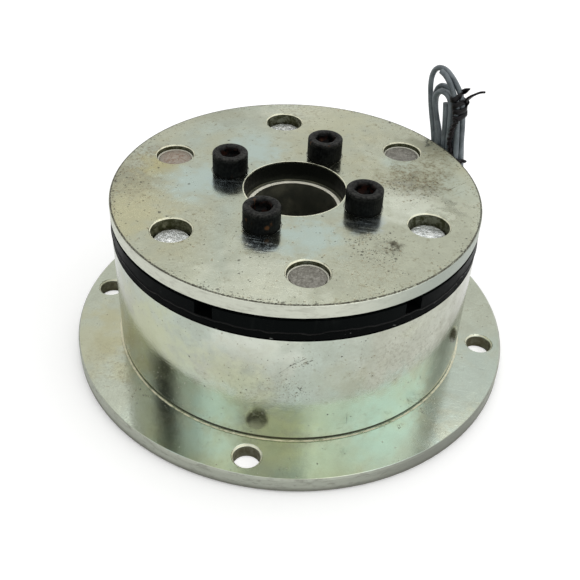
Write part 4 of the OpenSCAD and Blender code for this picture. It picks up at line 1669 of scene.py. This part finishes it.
@dataclass
class Armature:
    """The sliding side: notched steel ring, friction lining, rivets and bond line."""

    bead_r: float = 49.62
    bead_z: float = 41.1
    bead_thick: float = 0.24
    wave_height: float = 4.6
    wave_scale: float = 190.0

    def dress_rings(self) -> None:
        """Blackens the armature and the lining."""
        dress(
            BlackSteelFinish(
                "black_armature_finish",
                base=(0.0022, 0.003, 0.003),
                rubbed=(0.008, 0.0095, 0.009),
                streak=(420, 420, 60),
                streak_share=0.6,
                metal=0.0,
                gloss=0.015,
                rough=(0.3, 0.48),
            ),
            "armature_plate",
        )
        dress(
            BlackSteelFinish(
                "friction_finish",
                base=(0.002, 0.0025, 0.0025),
                rubbed=(0.007, 0.008, 0.007),
                metal=0.0,
                gloss=0.015,
                rough=(0.38, 0.6),
                glints=0.25,
            ),
            "friction_lining",
        )

    def build(self, rings: Tree, beads: Tree) -> None:
        """Makes the armature rivets and the wavy bond line."""
        Rivets(
            name="armature_rivet",
            body=Body.ARMATURE,
            slot="zinc_rivet",
            start_angle=RIVET_START + 60,
            top_z=46.3,
            head_h=0.57,
            foot_top_z=42.3,
            foot_z=41.2,
            finish=RivetFinish(
                "zinc_rivet_finish",
                low=(0.66, 0.7, 0.69),
                high=(0.97, 0.98, 0.95),
                stain=(0.5, 0.5, 0.42),
                stain_share=0.3,
                metal=0.7,
                rough=(0.12, 0.26),
                crumple=0.45,
            ),
            crumple=0.55,
            crumple_scale=380,
            seed=23,
        ).build(rings)
        finish = PolymerFinish(
            "bond_finish", (0.003, 0.003, 0.003), (0.014, 0.014, 0.013), 0.5, (0.22, 0.38), gloss=0.08
        )
        bead = beads.bake(
            "bond_bead",
            {
                "Radius": self.bead_r * MM,
                "Height": self.bead_z * MM,
                "Thickness": self.bead_thick * MM,
                "Wave height": self.wave_height * MM,
                "Wave scale": self.wave_scale,
                "Material": finish.material(),
            },
        )
        settle(bead, Body.ARMATURE, "friction_material")


@dataclass(frozen=True)
class Hank:
    """Where the folded leads stand: their foot, their lean, and three directions of their own.

    Places in it are across the fold (positive to the left of someone who faces the brake from
    the front), outwards from the shaft, and up the fold from its foot, all in millimetres.
    """

    angle: float = 136.0
    centre_r: float = 53.5
    shift: float = 8.5
    foot_z: float = 4.7
    end_r: float = 6.0
    lean: float = 10.0

    def beside(self, u: float, out: float, z: float) -> Vector:
        """A point along the rim by u, out from the fold's middle layer, at a height."""
        a = math.radians(self.angle)
        along = Vector((math.cos(a), math.sin(a), 0))
        outward = Vector((math.sin(a), -math.cos(a), 0))
        return ((self.centre_r + out) * outward + u * along + Vector((0, 0, z))) * MM

    def place(self, across: float, out: float, up: float) -> Vector:
        """A point of the leaning fold."""
        lean = math.radians(self.lean)
        rise = up - self.end_r
        u = across * math.cos(lean) + rise * math.sin(lean) - self.shift
        z = rise * math.cos(lean) - across * math.sin(lean) + self.foot_z + self.end_r
        return self.beside(u, out, z)

    def arc(self, radius: float, middle: Point, start: float, end: float, steps: int) -> list[Vector]:
        """A bend that lies in one layer of the fold.

        Args:
            radius: Radius of the bend.
            middle: Its centre in the fold's directions.
            start: First angle, in degrees from across towards up.
            end: Last angle.
            steps: Stretches of the bend.

        Returns:
            The points.
        """
        out = []
        for k in range(steps + 1):
            a = math.radians(start + (end - start) * k / steps)
            across, up = radius * math.cos(a), radius * math.sin(a)
            out.append(self.place(middle[0] + across, middle[1], middle[2] + up))
        return out


@dataclass
class Leads:
    """The coil's two leads, folded up together and tied behind the brake."""

    hank: Hank = field(default_factory=Hank)
    diameter: float = 1.6
    spacing: float = 1.8
    outer: float = 5.1
    inner: float = 3.3
    fold_up: float = 6.0
    approach: tuple[Point, ...] = (
        (19.5, 48.2, 12.1),
        (20.4, 50.6, 12.1),
        (22.0, 53.0, 11.6),
        (24.4, 54.4, 10.4),
        (27.0, 54.0, 8.8),
        (29.2, 52.0, 7.2),
        (31.0, 49.4, 6.1),
        (32.8, 46.6, 5.7),
        (34.8, 43.9, 5.6),
    )

    def run(self, layer: float, *points: tuple[float, ...]) -> list[Vector]:
        """Points of a run up or down the fold.

        Args:
            layer: How far outwards the run lies.
            *points: Each point's place across and up, or across, outwards and up.

        Returns:
            The points.
        """
        return [self.hank.place(p[0], layer if len(p) == 2 else p[1], p[-1]) for p in points]

    def foot(self, radius: float, layer: float, start: float, end: float, steps: int) -> list[Vector]:
        """A bend at the foot of the fold."""
        return self.hank.arc(radius, (0.0, layer, self.fold_up), start, end, steps)

    def lead_one(self) -> list[Vector]:
        """The path of the first lead."""
        back, front = self.spacing, -self.spacing
        path = [Vector(p) * MM for p in self.approach]
        path += [self.hank.beside(u, back, 5.6) for u in (2.2, -1.2, -4.6)]
        path += self.foot(self.outer, back, 280, 180, 6)
        path += self.run(back, (-5.1, 14), (-5.0, 24), (-4.9, 34), (-4.8, 44))
        path += self.run(back, (-4.4, 50), (-3.3, 54.3), (-1.8, 57.3), (0.2, 59.5))
        path += self.run(back, (2.4, 60.4), (4.5, 59.9), (5.9, 58.2), (6.4, 55.6))
        path += self.run(back, (6.0, 51), (4.9, 45.5), (4.6, 38), (4.9, 30))
        path += self.run(back, (4.9, 22), (4.3, 15), (3.5, 10))
        path += self.foot(self.inner, back, -10, -180, 10)
        path += self.run(front, (-3.1, 1.7, 12), (-2.3, 1.3, 19), (-1.7, 0.5, 25.5), (-1.7, -0.6, 31.5))
        path += self.run(front, (-2.3, -1.5, 38), (-3.0, 44.5), (-3.5, 51))
        path += self.hank.arc(3.2, (-0.45, front, 57.0), 173, 7, 8)
        path += self.run(front, (1.9, 52.4), (0.75, 48), (0.6, 43), (0.9, 36.5))
        path += self.run(front, (2.1, 28), (2.9, 21), (3.3, 13))
        path += self.foot(self.inner, front, 0, -165, 9)
        path += self.run(front, (-2.9, 9.2), (-2.0, 14), (-1.0, 20), (-0.4, 27))
        path += self.run(front, (-0.35, 33), (-0.6, 38), (-1.1, 43.5), (-1.5, 49))
        path += self.run(front, (-1.65, 53), (-1.7, 57.2))
        return path

    def lead_two(self) -> list[Vector]:
        """The path of the second lead."""
        front = -self.spacing
        path = [(Vector(p) + Vector((0, 0, self.spacing))) * MM for p in self.approach[:-1]]
        falling = ((5.4, 2.1, 7.4), (2.2, 1.7, 7.4), (-0.6, 1.1, 7.3), (-2.9, 0.35, 6.6), (-5.2, 0, 5.8))
        path += [self.hank.beside(*p) for p in falling]
        path += self.foot(self.outer, 0, 280, 180, 6)
        path += self.run(0, (-5.3, 14), (-5.6, 24), (-5.9, 34), (-6.2, 42), (-6.6, 48))
        path += self.run(0, (-6.7, 53), (-6.4, 57), (-5.4, 60.3), (-3.6, 62.8), (-1.6, 64.7))
        path += self.run(0, (0.4, 65.9), (2.4, 66.2), (4.3, 65.5), (5.7, 63.7), (6.4, 61))
        path += self.run(0, (6.45, 57.5), (6.0, 52.5), (5.2, 47.5), (4.7, 42), (4.7, 35))
        path += self.run(0, (4.9, 27), (4.9, 20), (4.2, 14), (3.4, 9.5))
        path += self.foot(self.inner, 0, -10, -180, 10)
        path += self.run(0, (-3.4, 14), (-3.7, 24), (-3.9, 34), (-3.7, 44), (-3.4, 50.5))
        path += self.hank.arc(3.4, (0.8, 0, 56.2), 170, 6, 8)
        path += self.run(0, (3.7, 50), (2.9, -0.3, 45.5), (2.7, -0.9, 41), (3.1, -1.4, 36))
        path += self.run(front, (4.0, -1.7, 30.5), (4.8, 24), (5.1, 17), (5.1, 11))
        path += self.foot(self.outer, front, 0, -180, 12)
        path += self.run(front, (-5.3, 14), (-5.6, 24), (-5.9, 34), (-6.2, 42))
        path += self.run(front, (-6.4, 48), (-6.3, 53.5), (-5.6, 58), (-4.3, 61.2))
        path += self.run(front, (-2.8, 63.6), (-1.2, 65.2), (0.4, 66.0))
        return path

    def curve(self, name: str, path: Sequence[Vector], material: bpy.types.Material) -> bpy.types.Object:
        """One lead as a curve of one open spline."""
        data = bpy.data.curves.new(name, "CURVE")
        data.dimensions = "3D"
        data.bevel_depth = self.diameter / 2 * MM
        data.bevel_resolution = 3
        data.use_fill_caps = True
        data.resolution_u = 6
        spline = data.splines.new("BEZIER")
        spline.bezier_points.add(len(path) - 1)
        for knot, place in zip(spline.bezier_points, path):
            knot.co = place
            knot.handle_left_type = knot.handle_right_type = "AUTO"
        data.materials.append(material)
        return new_piece(name, data)

    def build(self) -> None:
        """Makes both leads and their tie."""
        material = LeadFinish().material()
        tie = settle(Tie(self.hank).build(), Body.MAGNET, "tie_plastic", "cable_tie")
        for name, path, nodes in (
            ("coil_lead_1", self.lead_one(), ("lead_1", "lead_hank")),
            ("coil_lead_2", self.lead_two(), ("lead_2",)),
        ):
            lead = settle(self.curve(name, path, material), Body.MAGNET, "lead_insulation", *nodes)


@dataclass
class Tie:
    """The flat coated wire that holds the leads: wound round one run, then twisted down it."""

    hank: Hank
    width: float = 1.5
    thick: float = 0.62
    turns: float = 3.62
    top: float = 60.2
    foot: float = 53.7
    half_across: float = 1.22
    half_out: float = 2.08
    middle_out: float = -0.9
    middle_across: float = -6.45
    straight_to: float = 55.0
    bend: float = 0.062
    stray: float = 0.22
    squareness: float = 0.76
    steps_a_turn: int = 22
    strand_width: float = 1.0
    strand_turn: float = 0.75
    twist_r: float = 0.42
    twist_pitch: float = 3.4
    to_viewer: Point = (-1.02, -1.0, 0.48)
    spike: tuple[Point, ...] = ((-8.5, 0.6, 62.2), (-7.4, 0.7, 61.6), (-6.2, 1.0, 60.9))
    tail: tuple[Point, ...] = (
        (-14.0, 0.5, 62.4),
        (-12.6, 0.5, 62.0),
        (-10.9, 0.5, 61.2),
        (-9.2, 0.5, 60.2),
        (-7.8, 0.6, 59.0),
        (-7.2, 0.9, 57.8),
        (-6.3, 1.2, 56.8),
    )
    fall: tuple[Point, ...] = (
        (-7.7, -3.3, 53.4),
        (-6.9, -3.4, 52.4),
        (-6.2, -3.4, 51.0),
        (-5.7, -3.3, 49.4),
        (-5.1, -3.2, 47.8),
        (-4.7, -3.0, 46.2),
        (-4.7, -2.6, 44.4),
        (-5.2, -2.8, 42.7),
        (-6.3, -3.1, 41.6),
        (-7.3, -2.4, 41.0),
        (-7.8, -1.2, 40.7),
        (-7.9, 0.1, 40.5),
    )

    def around(self, turn: float) -> Point:
        """A point of the winding round the two outer runs.

        Args:
            turn: Share of the winding, 0 at its upper end and 1 at its lower.

        Returns:
            The place in the fold's directions.
        """
        a = math.pi / 2 - 2 * math.pi * self.turns * turn
        up = self.top + (self.foot - self.top) * turn + self.stray * math.sin(1.7 * a + 0.6)
        beyond = max(0.0, up - self.straight_to)
        middle = self.middle_across + self.bend * beyond * beyond

        def flat(value: float) -> float:
            """Squares off a sine, so that the winding lies close to both runs."""
            return math.copysign(abs(value) ** self.squareness, value)

        across = middle - self.half_across * flat(math.cos(a))
        return across, self.middle_out + self.half_out * flat(math.sin(a)), up

    def through(self, points: Sequence[Point], steps: int) -> list[Vector]:
        """A smooth line through points of the fold.

        Args:
            points: The places to pass, in the fold's directions.
            steps: Stretches between one place and the next.

        Returns:
            The line, still in the fold's directions.
        """
        knots = [Vector(p) for p in points]
        knots = [2 * knots[0] - knots[1], *knots, 2 * knots[-1] - knots[-2]]
        line = []
        for a, b, c, d in zip(knots, knots[1:], knots[2:], knots[3:]):
            for k in range(steps):
                t = k / steps
                bend = (2 * a - 5 * b + 4 * c - d) * t * t + (3 * b - a - 3 * c + d) * t**3
                line.append((2 * b + (c - a) * t + bend) / 2)
        return [*line, knots[-2]]

    def strip(
        self,
        work: bmesh.types.BMesh,
        line: Sequence[Vector],
        sides: Sequence[Vector],
        widths: Sequence[float],
    ) -> None:
        """Adds a flat strip with rounded edges along a line.

        Args:
            work: The mesh under way.
            line: The strip's middle, in the fold's directions.
            sides: Which way its width lies at each point.
            widths: Its width at each point.
        """
        rows: list[list[bmesh.types.BMVert]] = []
        for k, (spot, side, width) in enumerate(zip(line, sides, widths)):
            ahead = (line[min(k + 1, len(line) - 1)] - line[max(k - 1, 0)]).normalized()
            wide = (side - ahead * side.dot(ahead)).normalized()
            deep = ahead.cross(wide)
            w, d = width / 2, min(self.thick, 0.9 * width) / 2
            edge = 0.45 * d
            outline = [(w, d - edge), (w - edge, d), (edge - w, d), (-w, d - edge)]
            outline += [(-x, -y) for x, y in outline]
            corners = [self.hank.place(*(spot + wide * x + deep * y)) for x, y in outline]
            rows.append([work.verts.new(corner) for corner in corners])
        faces = [work.faces.new(rows[0][::-1]), work.faces.new(rows[-1])]
        count = len(rows[0])
        for low, high in zip(rows, rows[1:]):
            for j in range(count):
                n = (j + 1) % count
                faces.append(work.faces.new((low[j], low[n], high[n], high[j])))
        bmesh.ops.recalc_face_normals(work, faces=faces)

    def wind(self, work: bmesh.types.BMesh) -> None:
        """Adds the pointed end, the winding and the first strand of the twist."""
        steps = round(self.steps_a_turn * self.turns)
        winding = [Vector(self.around(k / steps)) for k in range(steps + 1)]
        spike = self.through([*self.spike, tuple(winding[0])], 4)[:-1]
        fall = self.twisted(0.0)
        line = spike + winding + fall[1:]
        up = Vector((0.0, 0.0, 1.0))
        sides = [up] * (len(spike) + len(winding)) + [self.turning(k, 0.0) for k in range(1, len(fall))]
        widths = [self.width * min(1.0, 0.25 + 0.11 * k) for k in range(len(spike))]
        widths += [self.width] * len(winding) + [self.strand_width] * (len(fall) - 1)
        self.strip(work, line, sides, widths)

    def turning(self, step: int, start: float) -> Vector:
        """Which way a twisted strand's width lies, a step down the twist."""
        a = math.radians(start) + self.strand_turn * step
        return Vector((math.cos(a), math.sin(a), 0.3))

    def twisted(self, start: float) -> list[Vector]:
        """One strand of the twist that runs down the leads, from its start angle in degrees."""
        middle = self.through(self.fall, 6)
        gone, line = 0.0, []
        for k, spot in enumerate(middle):
            gone += (spot - middle[k - 1]).length if k else 0.0
            a = math.radians(start) + 2 * math.pi * gone / self.twist_pitch
            line.append(spot + self.twist_r * Vector((math.cos(a), 0.6 * math.sin(a), 0.5 * math.sin(a))))
        return line

    def build(self) -> bpy.types.Object:
        """Makes the tie as one piece."""
        work = bmesh.new()
        self.wind(work)
        tail = self.through(self.tail, 5)
        up = Vector((0.0, 0.0, 1.0))
        share = [k / (len(tail) - 1) for k in range(len(tail))]
        sides = [Vector(self.to_viewer).lerp(up, max(0.0, 1.6 * s - 0.6)) for s in share]
        widths = [self.width * min(1.0, 0.55 + 0.25 * k) for k in range(len(tail))]
        self.strip(work, tail, sides, widths)
        second = self.twisted(180.0)
        sides = [self.turning(k, 180.0) for k in range(len(second))]
        self.strip(work, second, sides, [self.strand_width] * len(second))
        mesh = bpy.data.meshes.new("lead_tie")
        work.to_mesh(mesh)
        work.free()
        mesh.shade_smooth()
        # The tie's reddish-purple dust colour is partly wear and partly painted highlight.
        finish = PolymerFinish(
            "tie_finish", (0.003, 0.0025, 0.003), (0.022, 0.015, 0.019), 0.5, (0.28, 0.42), gloss=0.16
        )
        mesh.materials.append(finish.material())
        return new_piece("lead_tie", mesh)


# Studio

# What the lamps and cards face, and the hairline of air between the floor and the flange.
AIM = Vector((0, 0, 0.03))
FLOOR_GAP = 0.05


@dataclass(frozen=True)
class Softbox:
    """A soft lamp on a circle round the brake, facing it."""

    name: str
    azimuth: float
    elevation: float
    width: float
    height: float
    level: float
    distance: float = 0.7
    in_gloss: bool = True

    def build(self) -> None:
        """Makes the lamp. Its level is how bright its face looks, where 1 is white."""
        data = bpy.data.lights.new(self.name, "AREA")
        data.shape = "RECTANGLE"
        data.size, data.size_y = self.width, self.height
        data.energy = self.level * math.pi * self.width * self.height
        lamp = bpy.data.objects.new(self.name, data)
        bpy.context.scene.collection.objects.link(lamp)
        lamp.visible_glossy = self.in_gloss
        lamp.location = standpoint(self.azimuth, self.elevation, self.distance)
        lamp.rotation_euler = (AIM - lamp.location).to_track_quat("-Z", "Y").to_euler()


@dataclass(frozen=True)
class Card:
    """A card with soft edges beside the brake, dark or bright, which only its polish shows."""

    name: str
    azimuth: float
    elevation: float
    width: float
    height: float
    shade: float
    core: float = 0.25
    distance: float = 0.7
    cells: int = 24

    def build(self) -> bpy.types.Object:
        """Makes the card. Its shade is how bright its middle looks, and its rim fades away."""
        work = bmesh.new()
        bmesh.ops.create_grid(work, x_segments=self.cells, y_segments=self.cells, size=0.5)
        mesh = bpy.data.meshes.new(self.name)
        work.to_mesh(mesh)
        work.free()
        rim = mesh.attributes.new("rim", "FLOAT", "POINT")
        reach = [2 * (v.co.x**4 + v.co.y**4) ** 0.25 for v in mesh.vertices]
        rim.data.foreach_set("value", [min(1.0, r) for r in reach])
        card = new_piece(self.name, mesh)
        place = standpoint(self.azimuth, self.elevation, self.distance)
        turn = (AIM - place).to_track_quat("Z", "Y").to_matrix().to_4x4()
        size = Matrix.Diagonal((self.width, self.height, 1, 1))
        mesh.transform(Matrix.Translation(place) @ turn @ size)
        bench = Bench(self.name)
        fade = bench.steps(bench.marked("rim"), self.core, 0.98)
        bench.glow(bench.math("ADD", self.shade, bench.times(fade, 1.0 - self.shade)))
        mesh.materials.append(bench.surface((0.0, 0.0, 0.0), rough=0.5, gloss=0.0))
        card.visible_camera = False
        card.visible_shadow = False
        card.visible_diffuse = False
        return card


def standpoint(azimuth: float, elevation: float, distance: float) -> Vector:
    """A point on a sphere round the brake, in metres."""
    a, e = math.radians(azimuth), math.radians(elevation)
    return Vector((math.sin(a) * math.cos(e), -math.cos(a) * math.cos(e), math.sin(e))) * distance


@dataclass
class Studio:
    """A pale floor, an even white surround, and soft lamps."""

    floor_r: float = 6.0
    floor_colour: Colour = (0.97, 0.97, 0.97)
    floor_lift: float = 0.12
    # Painted light: how brightly the floor glows in a ring under the flange's bolt holes, so no shade shows
    # through them.
    painted_light_under_holes: float = 0.6
    holes_at: float = 56.0
    holes_within: float = 5.0
    surround: float = 0.9
    boxes: tuple[Softbox, ...] = (
        Softbox("softbox_right", 76, 40, width=0.56, height=0.34, level=1.35, in_gloss=False),
        Softbox("softbox_back", 180, 62, width=0.6, height=0.4, level=1.25, distance=0.9),
    )
    cards: tuple[Card, ...] = (
        Card("dark_card_left", -78, 36, width=0.33, height=0.76, shade=0.05, core=0.24),
        Card("dark_card_right", 130, 34, width=0.28, height=0.36, shade=0.7),
        Card("bright_card_left", -34, 47, width=0.32, height=0.46, shade=1.75, core=0.4),
        Card("bright_card_right", 69, 46, width=1.16, height=0.5, shade=2.2, core=0.62),
    )

    def build_floor(self) -> None:
        """Makes the floor."""
        work = bmesh.new()
        bmesh.ops.create_circle(work, cap_ends=True, segments=96, radius=self.floor_r)
        mesh = bpy.data.meshes.new("studio_floor")
        work.to_mesh(mesh)
        work.free()
        mesh.transform(Matrix.Translation((0, 0, -FLOOR_GAP * MM)))
        floor = new_piece("studio_floor", mesh)
        bench = Bench("studio_floor")
        seen = bench.node("ShaderNodeLightPath").outputs["Is Camera Ray"]
        _, reach = bench.height_and_reach()
        # Painted light: the floor glows brighter under the flange's bolt holes.
        painted_light_ring = bench.band(reach, self.holes_at, self.holes_within)
        lift = bench.steps(painted_light_ring, 0, 1, (self.floor_lift, self.painted_light_under_holes))
        bench.glow(bench.times(seen, lift))
        mesh.materials.append(bench.surface(self.floor_colour, rough=0.95, gloss=0.0))

    def build_surround(self) -> None:
        """Lights the scene from all round, and shows white to the camera and in polish."""
        world = bpy.data.worlds.new("studio_surround")
        bpy.context.scene.world = world
        world.use_nodes = True
        graph = Graph(world.node_tree)
        rays = graph.node("ShaderNodeLightPath").outputs
        shown = graph.either(rays["Is Camera Ray"], rays["Is Glossy Ray"])
        shown = graph.either(shown, rays["Is Transmission Ray"])
        dim = graph.node("ShaderNodeBackground", {"Color": WHITE, "Strength": self.surround})
        bright = graph.node("ShaderNodeBackground", {"Color": WHITE, "Strength": 1.0})
        mix = graph.node("ShaderNodeMixShader", {0: shown, 1: dim.outputs[0], 2: bright.outputs[0]})
        graph.node("ShaderNodeOutputWorld", {"Surface": mix.outputs[0]})

    def build(self) -> None:
        """Makes the whole studio."""
        self.build_floor()
        self.build_surround()
        for box in self.boxes:
            box.build()
        for card in self.cards:
            card.build()
        bpy.context.scene.view_settings.view_transform = "Standard"


@dataclass(frozen=True)
class Viewpoint:
    """Where the camera stands and how it is turned."""

    place: Point = (0.030717, -0.193302, 0.171114)
    turn: Point = (52.2296, -0.8124, 12.4922)
    lens: float = 52.745
    shift: Span = (0.05626, -0.02738)

    def build(self) -> None:
        """Makes the camera."""
        data = bpy.data.cameras.new("camera")
        data.sensor_width = 36.0
        data.lens = self.lens
        data.shift_x, data.shift_y = self.shift
        data.clip_start = 0.005
        data.clip_end = 100.0
        camera = bpy.data.objects.new("camera", data)
        bpy.context.scene.collection.objects.link(camera)
        camera.location = self.place
        camera.rotation_euler = Euler([math.radians(t) for t in self.turn], "XYZ")
        bpy.context.scene.camera = camera


def main() -> None:
    """Builds the camera, the leads, the brake's three sides and the studio, in that order."""
    logging.basicConfig(level=logging.INFO, format="%(name)s: %(message)s")
    Viewpoint().build()
    Leads().build()
    rings = ring_tree()
    magnet = MagnetBody()
    magnet.dress_steel()
    magnet.dress_coil()
    magnet.dress_bearing()
    rotor = Rotor()
    rotor.dress_plate()
    rotor.dress_inside()
    rotor.build(rings)
    armature = Armature()
    armature.dress_rings()
    armature.build(rings, bead_tree())
    Studio().build()


if __name__ == "__main__":
    main()
